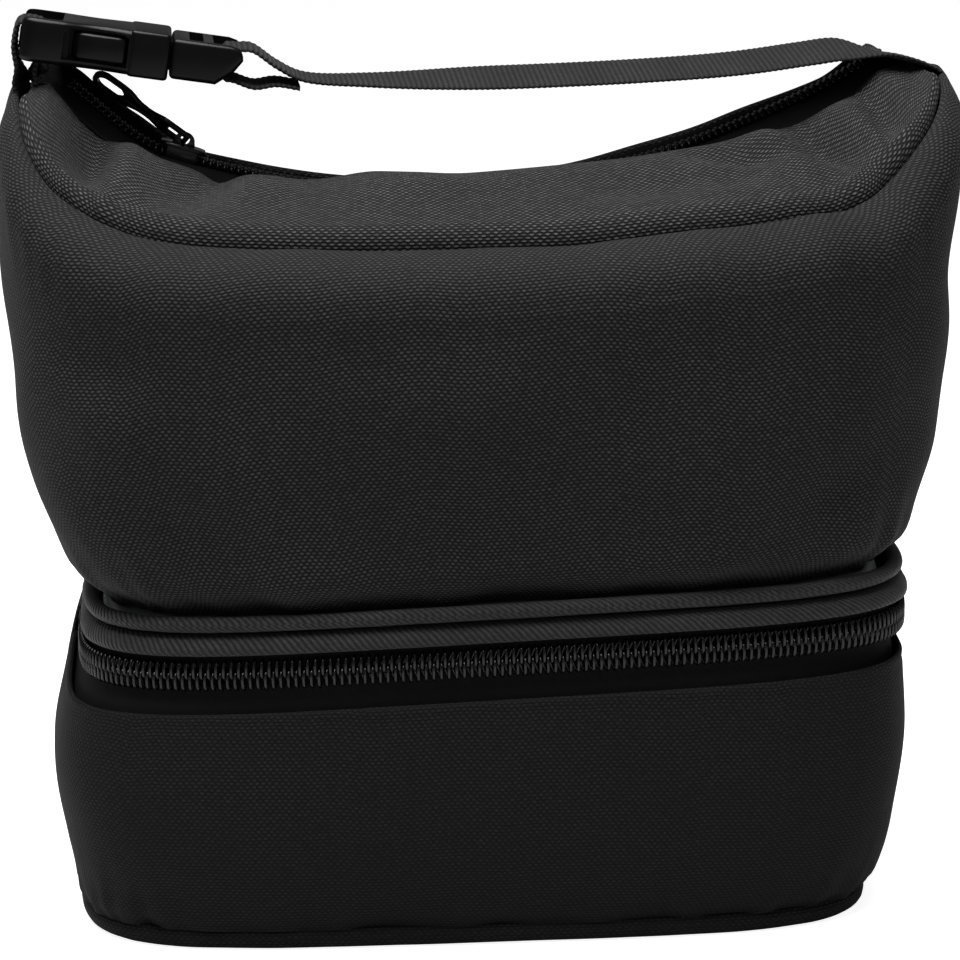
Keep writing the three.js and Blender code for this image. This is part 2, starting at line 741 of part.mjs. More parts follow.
// Pull: it lies along +X from its cross bar, which is on the line it swings about
function pullGeometry() {
  const bar = 0.65;
  const eye = BRIDGE_WIDTH / 2 + 0.4;
  const root = eye + 1.2;
  const shaft = 1.9;
  const end = 3.8;
  const shape = new THREE.Shape();
  shape.moveTo(-bar, -root);
  shape.lineTo(6.2, -root);
  shape.bezierCurveTo(9, -root, 9, -shaft, 12, -shaft);
  shape.bezierCurveTo(17, -shaft, 16, -end, 21, -end);
  shape.lineTo(PULL_LENGTH - end, -end);
  shape.absarc(PULL_LENGTH - end, 0, end, -Math.PI / 2, Math.PI / 2);
  shape.lineTo(21, end);
  shape.bezierCurveTo(16, end, 17, shaft, 12, shaft);
  shape.bezierCurveTo(9, shaft, 9, root, 6.2, root);
  shape.lineTo(-bar, root);
  shape.closePath();
  const eyeHole = new THREE.Path();
  eyeHole.moveTo(bar, -eye);
  eyeHole.lineTo(bar, eye);
  eyeHole.lineTo(5.2, eye);
  eyeHole.lineTo(5.2, -eye);
  const grip = new THREE.Path();
  const gripHalf = end - 1.5;
  grip.moveTo(20.4, -gripHalf);
  grip.lineTo(20.4, gripHalf);
  grip.lineTo(PULL_LENGTH - end, gripHalf);
  grip.absarc(PULL_LENGTH - end, 0, gripHalf, Math.PI / 2, -Math.PI / 2, true);
  shape.holes.push(eyeHole, grip);
  return moulded(shape, PULL_THICKNESS, 0, 6);
}

function topSlider() {
  const slider = new THREE.Group();
  const swing = Math.asin((TOP_SLIDER_X - ZIP_LOW_X) / ZIP_ARC_RADIUS);
  slider.position.set(TOP_SLIDER_X, 0, zipHeight(TOP_SLIDER_X));
  slider.rotation.y = -swing;
  const pull = meshOf("top_zip_pull", pullGeometry(), "metal");
  pull.position.z = PULL_AXIS;
  pull.rotation.y = swing - Math.PI + TOP_PULL_LEAN * DEG;
  const body = meshOf("top_zip_slider", sliderGeometry(), "metal");
  body.rotation.z = Math.PI;
  slider.add(body, pull);
  return slider;
}

// The lower slider runs along the right side, with its outer plate outwards
function lowerSlider() {
  const slider = new THREE.Group();
  const bow = Math.asin(LOWER_SLIDER_Y / SIDE_BOW_RADIUS);
  const side = wallPoint(0, PARTING, LOWER_TAPE_INSET, 0, PARTING);
  slider.position.copy(side).add(vec(SIDE_BOW_RADIUS * (Math.cos(bow) - 1), LOWER_SLIDER_Y, 0));
  const out = vec(Math.cos(bow), Math.sin(bow), 0);
  const along = vec(-Math.sin(bow), Math.cos(bow), 0);
  slider.setRotationFromMatrix(new THREE.Matrix4().makeBasis(along, vec(0, 0, 1), out));
  const pull = meshOf("lower_zip_pull", pullGeometry(), "metal");
  pull.position.z = PULL_AXIS;
  slider.add(meshOf("lower_zip_slider", sliderGeometry(), "metal"), pull);
  return slider;
}

// Room above and below a webbing bar, between the side walls of the buckle
function barRecesses(from, to) {
  const half = WEBBING_WIDTH / 2 + 0.5;
  const deep = BAR_THICKNESS / 2;
  return [
    block([from, -half, deep], [to, half, BUCKLE_THICKNESS]),
    block([from, -half, -BUCKLE_THICKNESS], [to, half, -deep]),
  ];
}

// Receptacle of the buckle: a box open at its mouth, with a window in each side for the latch arms
function receptacle() {
  const body = moulded(
    roundedShape(0, RECEPTACLE_LENGTH, BUCKLE_WIDTH / 2, 4),
    BUCKLE_THICKNESS,
    BUCKLE_ROUND,
  );
  const collar = moulded(
    roundedShape(
      RECEPTACLE_LENGTH - COLLAR_LENGTH,
      RECEPTACLE_LENGTH,
      BUCKLE_WIDTH / 2 + COLLAR_PROUD,
      2,
    ),
    BUCKLE_THICKNESS + 2 * COLLAR_PROUD,
    BUCKLE_ROUND,
  );
  const slot = moulded(
    roundedShape(BAR, BAR + BAR_SLOT, WEBBING_WIDTH / 2 + 0.5, 1),
    BUCKLE_THICKNESS + 4,
    0,
  );
  const pocket = block(
    [POCKET_START, -POCKET_HALF_WIDTH, -POCKET_HALF_HEIGHT],
    [RECEPTACLE_LENGTH + 1, POCKET_HALF_WIDTH, POCKET_HALF_HEIGHT],
  );
  const windowShape = roundedShape(WINDOW_START, WINDOW_END, WINDOW_HALF_HEIGHT, 1);
  const recesses = barRecesses(-1, BAR + BAR_SLOT);
  const windows = moulded(windowShape, BUCKLE_WIDTH + 8, 0).rotateX(Math.PI / 2);
  const keep = block(
    [WINDOW_START - 1, -POCKET_HALF_WIDTH + 0.4, -BUCKLE_THICKNESS],
    [WINDOW_END + 1, POCKET_HALF_WIDTH - 0.4, BUCKLE_THICKNESS],
  );
  return cut(join(body, collar), slot, ...recesses, pocket, cut(windows, keep));
}

// Plug: a head with two bars and slots for the webbing, a tongue in the mouth and a guide blade
function plug() {
  const start = RECEPTACLE_LENGTH + GAP;
  const head = moulded(
    roundedShape(start, start + PLUG_LENGTH, BUCKLE_WIDTH / 2, 3),
    PLUG_THICKNESS,
    BUCKLE_ROUND,
  );
  const end = start + PLUG_LENGTH;
  const halfWidth = WEBBING_WIDTH / 2 + 0.5;
  const slots = [0, 1].map((n) => {
    const far = end - PLUG_BAR - n * (PLUG_BAR + PLUG_SLOT);
    return moulded(roundedShape(far - PLUG_SLOT, far, halfWidth, 0.8), PLUG_THICKNESS + 4, 0);
  });
  const tongueHalf = ARM_ROOT_INNER - ARM_SWING_ROOM - GAP;
  const tongue = block(
    [start - TONGUE_LENGTH, -tongueHalf, -POCKET_HALF_HEIGHT + RUN],
    [start + 2, tongueHalf, POCKET_HALF_HEIGHT - RUN],
  );
  const blade = block(
    [POCKET_START + 3, -GUIDE_HALF_WIDTH, -1.4],
    [start - TONGUE_LENGTH + 1, GUIDE_HALF_WIDTH, 1.4],
  );
  const recesses = barRecesses(end - PLUG_BAR - PLUG_SLOT, end + 1);
  return cut(join(head, tongue, blade), ...slots, ...recesses);
}

// Latch arm at +Y: it springs from the plug and its button fills the side window
function latchArm() {
  const inner = ARM_ROOT_INNER;
  const outer = inner + ARM_ROOT_THICKNESS;
  const root = RECEPTACLE_LENGTH;
  const barb = POCKET_HALF_WIDTH - RUN;
  const face = BUCKLE_WIDTH / 2 - 0.4;
  const shoulder = WINDOW_END - RUN;
  const tip = WINDOW_START + 2.4;
  const shape = new THREE.Shape();
  shape.moveTo(root, inner);
  shape.lineTo(root, outer);
  shape.lineTo(shoulder + 1.5, outer + 0.4);
  shape.lineTo(shoulder, outer + 0.4);
  shape.lineTo(shoulder, face - 0.8);
  shape.quadraticCurveTo(shoulder - 0.4, face, shoulder - 2, face);
  shape.lineTo(tip + 5, face);
  shape.quadraticCurveTo(tip, face, tip, barb - 1);
  shape.quadraticCurveTo(tip + 0.2, inner - 0.3, tip + 3, inner - 0.6);
  shape.lineTo(shoulder - 3, inner + 0.2);
  return moulded(shape, 2 * (POCKET_HALF_HEIGHT - 2 * RUN), 0, 3);
}

function buckle() {
  const pieces = new THREE.Group();
  const length = RECEPTACLE_LENGTH + GAP + PLUG_LENGTH;
  const rear = meshOf("latch_arm_rear", latchArm(), "plastic");
  const front = meshOf("latch_arm_front", latchArm(), "plastic");
  front.rotation.x = Math.PI;
  const moved = new THREE.Group();
  moved.position.x = -length / 2;
  moved.add(
    meshOf("buckle_receptacle", receptacle(), "plastic"),
    meshOf("buckle_plug", plug(), "plastic"),
    rear,
    front,
  );
  pieces.add(moved);
  pieces.position.copy(BUCKLE_CENTRE);
  pieces.rotation.y = BUCKLE_TILT * DEG;
  return pieces;
}

// A point of the buckle's own XZ plane, given along it from the left bar's outer face
function onBuckle(along, up) {
  const length = RECEPTACLE_LENGTH + GAP + PLUG_LENGTH;
  const tilt = BUCKLE_TILT * DEG;
  const from = along - length / 2;
  return [
    BUCKLE_CENTRE.x + from * Math.cos(tilt) + up * Math.sin(tilt),
    BUCKLE_CENTRE.z - from * Math.sin(tilt) + up * Math.cos(tilt),
  ];
}

// Webbing of the handle: the long strap, its tail under the plug and the loop round the left bar
function handleWebbing() {
  const pieces = new THREE.Group();
  const away = WEBBING / 2 + GAP;
  const end = RECEPTACLE_LENGTH + GAP + PLUG_LENGTH;
  const earX = outlineAt(EAR_TOP, "width") - EAR_ROLL - FABRIC - away;
  const overBar = BAR_THICKNESS / 2 + away + 0.4;
  const outerSlot = end - PLUG_BAR - PLUG_SLOT / 2;
  const strap = [
    [earX, STRAP_FOOT_Z],
    [earX, EAR_TOP - 1],
    [earX - 1.6, EAR_TOP + 4],
    [earX - 7, EAR_TOP + 6.8],
    [earX - 16, EAR_TOP + 7.4],
    [earX - 57.5, EAR_TOP + 4.4],
    [BUCKLE_CENTRE.x + 89, EAR_TOP + 1.4],
    [BUCKLE_CENTRE.x + 59, EAR_TOP + 1],
    [BUCKLE_CENTRE.x + 41, EAR_TOP + 2.6],
    onBuckle(end + 4, overBar + 0.6),
    onBuckle(end - PLUG_BAR / 2, overBar),
    onBuckle(outerSlot + 1.3, overBar - 0.2),
    onBuckle(outerSlot + 0.2, overBar - 1.5),
    onBuckle(outerSlot, 0.4),
  ];
  const tail = [
    onBuckle(outerSlot, -0.4),
    onBuckle(outerSlot + 0.2, 1.5 - overBar),
    onBuckle(outerSlot + 1.3, 0.2 - overBar),
    onBuckle(end - PLUG_BAR / 2, -overBar),
    onBuckle(end + 4, -overBar - 0.6),
    [BUCKLE_CENTRE.x + 36, EAR_TOP - 2.4],
    [BUCKLE_CENTRE.x + 44, EAR_TOP - 2.2],
  ];
  const slotMiddle = BAR + BAR_SLOT / 2;
  const loop = [
    [-earX, STRAP_FOOT_Z],
    [-earX, EAR_TOP + 1],
    onBuckle(-away - 0.2, -3),
    onBuckle(-away - 0.1, overBar - 2),
    onBuckle(-0.7, overBar - 0.6),
    onBuckle(BAR / 2, overBar),
    onBuckle(slotMiddle - 1.2, overBar - 0.7),
    onBuckle(slotMiddle - 0.4, overBar - 2.6),
    onBuckle(slotMiddle - 0.4, -3),
    [1.2 * away + WEBBING - earX, ANCHOR_TOP_Z + 6],
    [GAP + WEBBING - earX, ANCHOR_TOP_Z + 3.2],
  ];
  pieces.add(
    meshOf("handle_strap", ribbon(strap, WEBBING_WIDTH, WEBBING, 44), "webbing"),
    meshOf("strap_tail", ribbon(tail, WEBBING_WIDTH, WEBBING, 16), "webbing"),
    meshOf("strap_loop", ribbon(loop.reverse(), WEBBING_WIDTH, WEBBING, 30), "webbing"),
  );
  return pieces;
}

const bag = new THREE.Group();
bag.add(lowerCompartment(), upperCompartment(), strapAnchors());
bag.add(topSlider(), lowerSlider(), buckle(), handleWebbing());

export default bag;
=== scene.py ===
import math
from bisect import bisect
from functools import partial

import bpy
from mathutils import Matrix, Vector, noise


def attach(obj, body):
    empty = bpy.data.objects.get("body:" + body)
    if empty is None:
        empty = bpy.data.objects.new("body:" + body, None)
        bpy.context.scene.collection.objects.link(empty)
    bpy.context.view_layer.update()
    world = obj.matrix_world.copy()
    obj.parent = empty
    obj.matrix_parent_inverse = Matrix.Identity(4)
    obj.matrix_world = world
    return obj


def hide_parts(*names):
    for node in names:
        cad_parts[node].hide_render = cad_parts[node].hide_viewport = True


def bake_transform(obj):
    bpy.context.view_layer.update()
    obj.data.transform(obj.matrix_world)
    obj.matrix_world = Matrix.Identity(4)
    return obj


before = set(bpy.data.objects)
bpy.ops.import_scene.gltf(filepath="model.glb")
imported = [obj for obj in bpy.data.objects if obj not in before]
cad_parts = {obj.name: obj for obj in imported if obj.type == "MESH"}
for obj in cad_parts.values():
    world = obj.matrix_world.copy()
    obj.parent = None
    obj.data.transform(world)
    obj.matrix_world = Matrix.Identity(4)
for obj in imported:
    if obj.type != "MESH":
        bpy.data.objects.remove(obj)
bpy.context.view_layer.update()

# Sizes, in millimetres
MM = 0.001
HALF_WIDTH = 119.6
HALF_DEPTH = 73.6
SQUARENESS = 4.6
CORNER_DRAW = 0.12
CLOTH = 1.0
PARTING = 73.6
LOWER_FOOT = 5.2
LOWER_TOP = PARTING - 9.1
BAND_BOTTOM = 78.4
BAND_TOP = 83.4
WAIST_CORD = 2.5
CORD_Z = BAND_TOP + 3.2
WAIST_TOP = BAND_TOP + 0.6 + 2 * WAIST_CORD
UPPER_FOOT = WAIST_TOP - 1.0
FOOT_TUCK = 5.4
BASE_CORD = 3.2
RIM = 182.0
EAR_RISE = 31.0
EAR_TOP = RIM + EAR_RISE
RIM_SAG = 2.0
BACK_SAG = 10.0
RIM_ROLL, EAR_ROLL = 14.0, 1.8
RIM_ROLL_RISE, EAR_ROLL_RISE = 15.0, 9.0
ZIP_RADIUS = 215.0
ZIP_LOW_X = -10.5
ZIP_LEFT = -105.0
ZIP_RIGHT = 103.0
ZIP_PITCH = 1.86
TOP_SLIDER_X = -75.0
TAPE_INSET = 2.8
WEBBING_WIDTH = 25.0
WEBBING_THICK = 1.4
RIB = 1.45
OUTER_THREADS = (0.79, 0.877)
TOP_THREADS = (0.93, 0.82)

# Level lines climb to the right by these slopes, and stay level below the foot
LEAN_FOOT, WAIST_LEAN, RIM_LEAN = 11.4, 0.033, 0.006

TURN = 2 * math.pi
LOWER, UPPER = "lower_compartment", "upper_compartment"
HALVES = ((-1, "front"), (1, "back"))

# Half width and half depth at a height: 0 is the ground, 1 the parting and 2 the top of the ears
STATIONS = []
for rise, wide, deep in (
    (0, 0.856, 0.905), (0.11, 0.869, 0.916), (0.33, 0.897, 0.967), (0.6, 0.921, 0.984),
    (0.9, 0.9, 0.951), (1.1, 0.874, 0.938), (1.18, 0.91, 0.959), (1.34, 0.968, 0.992),
    (1.53, 0.994, 1.0), (1.7, 1.003, 0.992), (1.9, 1.012, 0.965), (2, 0.994, 0.938),
):
    height = PARTING * rise if rise < 1 else PARTING + (EAR_TOP - PARTING) * (rise - 1)
    STATIONS.append((height, wide * HALF_WIDTH, deep * HALF_DEPTH))
HEIGHTS = [height for height, _, _ in STATIONS]


# Small helps
def clamp(share):
    return max(0.0, min(1.0, share))


def lerp(a, b, t):
    return a + (b - a) * t


def smooth(t):
    t = clamp(t)
    return t * t * (3 - 2 * t)


def between(value, low, high):
    """Share of the way from low to high, eased at both ends"""
    return smooth((value - low) / (high - low))


def bell(away, width):
    """1 in the middle of a soft bump, fading with the distance from it"""
    return math.exp(-((away / width) ** 2))


def arch(share):
    """0 at both ends of a way and 1 in its middle"""
    return math.sin(math.pi * share)


def ripple(x, y, z, size, seed):
    """Soft noise whose waves are about this many millimetres long"""
    return noise.noise(Vector((x / size + 17.3 * seed, y / size - 9.1 * seed, z / size + 4.7 * seed)))


def distances(spots):
    """How far along its line each spot lies"""
    run = [0.0]
    for before, after in zip(spots, spots[1:]):
        run.append(run[-1] + (after - before).length)
    return run


def step_at(run, distance):
    """Step of a line in which a distance falls, and the share of that step before it"""
    n = min(bisect(run, distance), len(run) - 1) - 1
    return n, (distance - run[n]) / (run[n + 1] - run[n])


def turned(degrees, axis):
    return Matrix.Rotation(math.radians(degrees), 4, axis)


def moved(x, y, z):
    return Matrix.Translation(Vector((x, y, z)) * MM)


def only(piece):
    bpy.ops.object.select_all(action="DESELECT")
    piece.select_set(True)
    bpy.context.view_layer.objects.active = piece


def primitive(name, add, **how):
    """Adds a primitive with nothing else selected"""
    bpy.ops.object.select_all(action="DESELECT")
    add(**how)
    piece = bpy.context.object
    piece.name = name
    piece.data.name = name
    return piece


def in_edit(piece, *steps):
    """Takes steps in edit mode, the first of them with the whole mesh selected"""
    only(piece)
    bpy.ops.object.mode_set(mode="EDIT")
    bpy.ops.mesh.select_all(action="SELECT")
    for step in steps:
        step()
    bpy.ops.object.mode_set(mode="OBJECT")


def merge_doubles():
    bpy.ops.mesh.remove_doubles(threshold=1e-6)


def fill_openings():
    bpy.ops.mesh.select_all(action="DESELECT")
    bpy.ops.mesh.select_non_manifold()
    bpy.ops.mesh.fill_holes(sides=0)


def face_outwards():
    bpy.ops.mesh.select_all(action="SELECT")
    bpy.ops.mesh.normals_make_consistent(inside=False)


def modify(piece, kind, **settings):
    """Adds one modifier and applies it"""
    only(piece)
    modifier = piece.modifiers.new(kind.lower(), kind)
    for key, value in settings.items():
        setattr(modifier, key, value)
    bpy.ops.object.modifier_apply(modifier=modifier.name)
    return piece


def bevel(piece, width, segments, degrees):
    """Rounds the edges that turn by more than an angle"""
    return modify(
        piece, "BEVEL", width=width * MM, segments=segments,
        limit_method="ANGLE", angle_limit=math.radians(degrees),
    )


def shade_smooth(piece):
    piece.data.polygons.foreach_set("use_smooth", [True] * len(piece.data.polygons))


def dress(piece, finish, body=None, node=None):
    """Gives a piece its finish and slot, the body it moves with and the CAD node that it stands for"""
    piece.data.materials.clear()
    piece.data.materials.append(finish)
    if body:
        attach(piece, body)
    if node:
        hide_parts(node)


# Form of the body
def half_size(z, side):
    """Half width (side 1) or half depth (side 2) of the body at a height"""
    last = len(STATIONS) - 1
    i = min(max(bisect(HEIGHTS, z) - 1, 0), last - 1)

    def slope(n):
        low, high = STATIONS[max(n - 1, 0)], STATIONS[min(n + 1, last)]
        return (high[side] - low[side]) / (high[0] - low[0])

    low, high = STATIONS[i], STATIONS[i + 1]
    span = high[0] - low[0]
    t = clamp((z - low[0]) / span)
    ease = t * (1 - t)
    bend = ease * (1 - t) * slope(i) - ease * t * slope(i + 1)
    return lerp(low[side], high[side], smooth(t)) + span * bend


def shares(step):
    """Direction on the rounded outline, as shares of its half width and half depth"""
    angle = step + CORNER_DRAW * math.sin(4 * step)
    c, s = math.cos(angle), math.sin(angle)
    reach = (abs(c) ** SQUARENESS + abs(s) ** SQUARENESS) ** (-1 / SQUARENESS)
    return reach * c, reach * s


def lean(z):
    if z < LOWER_TOP:
        return WAIST_LEAN * clamp((z - LEAN_FOOT) / (LOWER_TOP - LEAN_FOOT))
    return lerp(WAIST_LEAN, RIM_LEAN, clamp((z - WAIST_TOP) / (RIM - WAIST_TOP)))


def sway(z):
    """How far the soft body hangs out of line, to the right at the waist and to the left at its foot"""
    return 3.4 * bell(z - 90, 24) - 2.2 * bell(z, 13)


def waist_pull(across, z):
    """The zip and the band stand out further at the right"""
    return 2.3 * max(across, 0.0) ** 2 * bell(z - 76, 8)


def ear_pull(across, along, z):
    """The webbing draws both ears to the right, the right one most"""
    pull = 4.8 if across > 0 else 0.8
    return pull * (1 - along * along) ** 2 * between(z, RIM - 30, EAR_TOP - 6)


def on_wall(angle, z, inset=0.0, outline=None):
    """Place on the wall at a height, with the outline of that height or of another"""
    across, along = shares(angle)
    level = z if outline is None else outline
    x = across * (half_size(level, 1) - inset) + sway(z) + ear_pull(across, along, z) + waist_pull(across, z)
    y = along * (half_size(level, 2) - inset)
    return Vector((x, y, z + lean(z) * x))


def rim_height(angle):
    """Height of the rim, which climbs to the ears at both ends and hangs unevenly at the front"""
    across, along = shares(angle)
    height = RIM + EAR_RISE * (1 - along * along) ** 1.1
    if along > 0:
        return height - BACK_SAG * (1 - across * across)
    uneven = 2.2 * between(across, 0.15, 0.5) - 2.2 * between(across, 0.7, 0.82) - 2.6
    uneven += 5.0 * between(across, 0.86, 1) - 1.2 * between(across, -0.5, -0.8)
    return height - RIM_SAG * (1 - across * across) + uneven * min(1.0, along * along / 0.5)


def rim_roll(angle):
    return lerp(EAR_ROLL, RIM_ROLL, shares(angle)[1] ** 2)


def roll_rise(angle):
    return lerp(EAR_ROLL_RISE, RIM_ROLL_RISE, shares(angle)[1] ** 2)


def foot_tuck(z):
    """How far the upper wall turns in under itself above the piping"""
    return FOOT_TUCK * bell(z - WAIST_TOP + 1, 4.6)


def zip_height(x):
    """Height of the top zip, which hangs on an arc and climbs steeply to the left ear"""
    climb = 9.4 * between(x, -79, -110) - between(x, 72, 104)
    return RIM + ZIP_RADIUS - math.sqrt(ZIP_RADIUS**2 - (x - ZIP_LOW_X) ** 2) + climb


# Ways of making cloth and cord
def cloth(name, columns, rows, place, closed=False, thick=0.0):
    """A grid whose corners go to place(across, up), with real lengths as its UVs, sewn shut if closed"""
    piece = primitive(
        name, bpy.ops.mesh.primitive_grid_add, x_subdivisions=columns, y_subdivisions=rows, size=1
    )
    mesh = piece.data
    at = [(round((v.co.x + 0.5) * columns), round((v.co.y + 0.5) * rows)) for v in mesh.vertices]
    spot = {(i, j): Vector(place(i / columns, j / rows)) * MM for i, j in at}
    for corner, step in zip(mesh.vertices, at):
        corner.co = spot[step]
    runs = [distances([spot[i, j] for i in range(columns + 1)]) for j in range(rows + 1)]
    rises = [distances([spot[i, j] for j in range(rows + 1)]) for i in range(columns + 1)]
    run = runs[rows // 2]
    if closed:
        repeat = 2 * OUTER_THREADS[0] * MM
        whole = round(run[-1] / repeat) * repeat / run[-1]
        run = [length * whole for length in run]
    lengths = mesh.uv_layers[0].data
    for loop in mesh.loops:
        i, j = at[loop.vertex_index]
        lengths[loop.index].uv = (run[i], rises[i][j])
    if closed:
        in_edit(piece, merge_doubles)
    if thick:
        modify(piece, "SOLIDIFY", thickness=thick * MM, offset=-1, use_rim=True)
    shade_smooth(piece)
    return piece


def tube(name, columns, sides, centre, section, closed=False):
    """A grid wrapped round centre(t), with section(t, turn) as its reach sideways and upwards"""

    def place(u, v):
        here, out, up = centre(u)
        reach, lift = section(u, v)
        return here + out * reach + up * lift

    piece = cloth(name, columns, sides, place, closed=closed)
    ends = () if closed else (fill_openings,)
    in_edit(piece, merge_doubles, *ends, face_outwards)
    shade_smooth(piece)
    return piece


def wire(name, runs, thickness, roundness):
    """A wire through each list of points"""
    piece = primitive(name, bpy.ops.curve.primitive_nurbs_path_add)
    line = piece.data
    line.splines.clear()
    for points in runs:
        spline = line.splines.new("POLY")
        spline.points.add(len(points) - 1)
        for point, place in zip(spline.points, points):
            point.co = (*(place * MM), 1)
    line.dimensions = "3D"
    line.bevel_depth = thickness / 2 * MM
    line.bevel_resolution = roundness
    line.use_fill_caps = True
    only(piece)
    bpy.ops.object.convert(target="MESH")
    piece = bpy.context.object
    piece.name = name
    shade_smooth(piece)
    return piece


def moulding(name, outline, low, high, edge=0.0, segments=3):
    """A moulded block: a filled circle pulled to an outline, drawn up to its height, with soft edges"""
    piece = primitive(
        name, bpy.ops.mesh.primitive_circle_add, vertices=len(outline), radius=1, fill_type="NGON"
    )
    for corner, (x, y) in zip(piece.data.vertices, outline):
        corner.co = Vector((x, y, low)) * MM
    draw_up = {"value": (0, 0, (high - low) * MM)}
    in_edit(
        piece, lambda: bpy.ops.mesh.extrude_region_move(TRANSFORM_OT_translate=draw_up), face_outwards
    )
    if edge:
        bevel(piece, edge, segments, 40)
    return piece


def carve(piece, *cutters, operation="DIFFERENCE"):
    """Cuts shapes out of a piece, or joins them to it"""
    for cutter in cutters:
        modify(piece, "BOOLEAN", operation=operation, object=cutter, solver="EXACT")
        bpy.data.objects.remove(cutter)
    return piece


def slab(name, low, high, edge=0.0):
    """A block between two corners"""
    outline = [(low[0], low[1]), (high[0], low[1]), (high[0], high[1]), (low[0], high[1])]
    return moulding(name, outline, low[2], high[2], edge, 2)


def arc(x, y, radius, turns):
    """Points round a centre, at turns in degrees"""
    angles = [math.radians(turn) for turn in turns]
    return [(x + radius * math.cos(angle), y + radius * math.sin(angle)) for angle in angles]


def mirrored(half):
    """A whole outline from its rear half, which runs along +X"""
    return [(x, -y) for x, y in half] + half[::-1]


def rounded(x0, x1, half, radius):
    """Outline of a plate with round corners, counter-clockwise"""
    near, far, side = x0 + radius, x1 - radius, half - radius
    outline = []
    for x, y, start in ((far, -side, -90), (far, side, 0), (near, side, 90), (near, -side, 180)):
        outline += arc(x, y, radius, [start + 22.5 * n for n in range(5)])
    return outline


# Finishes
def add_node(tree, kind, inputs, output=0, **settings):
    """Adds a node with numbers or links as its inputs, and returns one of its outputs"""
    node = tree.nodes.new(kind)
    for key, setting in settings.items():
        setattr(node, key, setting)
    for key, value in inputs.items():
        if isinstance(value, bpy.types.NodeSocket):
            tree.links.new(value, node.inputs[key])
        else:
            node.inputs[key].default_value = value
    return node.outputs[output]


def maths(tree, operation, *values):
    return add_node(tree, "ShaderNodeMath", dict(enumerate(values)), operation=operation)


def graded(tree, value, low, high, from_low=0.0, from_high=1.0):
    limits = {"From Min": from_low, "From Max": from_high, "To Min": low, "To Max": high}
    return add_node(tree, "ShaderNodeMapRange", {"Value": value, **limits}, "Result")


def speckle(tree, where, scale, detail=2.0):
    return add_node(tree, "ShaderNodeTexNoise", {"Vector": where, "Scale": scale, "Detail": detail})


def bare_finish(name, roughness, metal=0.0, sheen=0.0, specular=0.5):
    """A material with its shader and coordinates"""
    material = bpy.data.materials.new(name)
    material.use_nodes = True
    tree = material.node_tree
    shader = tree.nodes["Principled BSDF"]
    shader.inputs["Roughness"].default_value = roughness
    shader.inputs["Metallic"].default_value = metal
    shader.inputs["Specular IOR Level"].default_value = specular
    shader.inputs["Sheen Weight"].default_value = sheen
    shader.inputs["Sheen Roughness"].default_value = 0.55
    return material, tree, shader, tree.nodes.new("ShaderNodeTexCoord")


def coloured(tree, shader, colour, level):
    """Base colour times a level that varies over the surface"""
    tint = add_node(tree, "ShaderNodeVectorMath", {0: colour, "Scale": level}, operation="SCALE")
    tree.links.new(tint, shader.inputs["Base Color"])


def bumped(tree, shader, height, depth, strength=1.0):
    relief = {"Distance": depth * MM, "Strength": strength, "Height": height}
    tree.links.new(add_node(tree, "ShaderNodeBump", relief), shader.inputs["Normal"])


def waves(tree, turns):
    """A wave that repeats with each whole turn"""
    return maths(tree, "COSINE", maths(tree, "MULTIPLY", turns, TURN))


def scattered(tree, a, b):
    """An even random value for each thread crossing"""
    cell = {0: maths(tree, "FLOOR", a), 1: maths(tree, "FLOOR", b)}
    crossing = add_node(tree, "ShaderNodeCombineXYZ", cell)
    return add_node(tree, "ShaderNodeTexWhiteNoise", {"Vector": crossing}, "Value", noise_dimensions="2D")


def plain_weave(tree, a, b):
    """Height of a plain weave: crowns of the weft in a brick pattern, with holes between them"""
    sines = [maths(tree, "SINE", maths(tree, "MULTIPLY", value, math.pi)) for value in (a, b)]
    crown = maths(tree, "MULTIPLY", *sines)
    shape = maths(tree, "MULTIPLY_ADD", waves(tree, b), -0.85, maths(tree, "MULTIPLY_ADD", crown, 1.4, 1.0))
    high = graded(tree, shape, 0.0, 1.0, 0.2, 2.3)
    # A random level for each crossing, in the colour as painted glints where some threads catch more light,
    # and in the bump
    return maths(tree, "MULTIPLY", high, graded(tree, scattered(tree, a, b), 0.72, 1.18))


def twill_weave(tree, a, b):
    """Slanting ribs of a twill, with the threads crossing them"""
    rib = waves(tree, maths(tree, "MULTIPLY", maths(tree, "ADD", a, b), 0.5))
    cross = waves(tree, maths(tree, "SUBTRACT", a, b))
    return graded(tree, maths(tree, "MULTIPLY_ADD", cross, 0.25, rib), 0.0, 1.0, -1.25, 1.25)


def ribbed_weave(tree, a, b):
    """Cross ribs of webbing over its fine lengthwise threads"""
    uneven = graded(tree, scattered(tree, a, b), -0.35, 0.35)
    threads = maths(tree, "MULTIPLY_ADD", waves(tree, b), 0.3, waves(tree, a))
    return graded(tree, maths(tree, "ADD", threads, uneven), 0.0, 1.0, -1.3, 1.3)


def woven_finish(name, colour, weave, pitch, roughness, sheen, low, high, depth, sharp=1.0):
    """A cloth whose threads repeat by a pitch in millimetres along and across it, its colour darker in the
    holes between threads as painted shade and lighter on their crowns as painted highlight
    """
    material, tree, shader, place = bare_finish(name, roughness, sheen=sheen, specular=0.2)
    split = tree.nodes.new("ShaderNodeSeparateXYZ")
    tree.links.new(place.outputs["UV"], split.inputs[0])
    threads = [maths(tree, "DIVIDE", run, size * MM) for run, size in zip(split.outputs, pitch)]
    height = weave(tree, *threads)
    patches = graded(tree, speckle(tree, place.outputs["Object"], 28.0, 4.0), 0.86, 1.14, 0.3, 0.7)
    lint = graded(tree, speckle(tree, place.outputs["Object"], 900.0), 0.75, 1.25, 0.3, 0.7)
    # Colour level from the weave's height: painted shade in the holes, painted highlight on the crowns
    crown_highlight_hole_shade = graded(tree, maths(tree, "POWER", height, sharp), low, high)
    coloured(tree, shader, colour, maths(tree, "MULTIPLY", crown_highlight_hole_shade, maths(tree, "MULTIPLY", patches, lint)))
    bumped(tree, shader, height, depth)
    return material


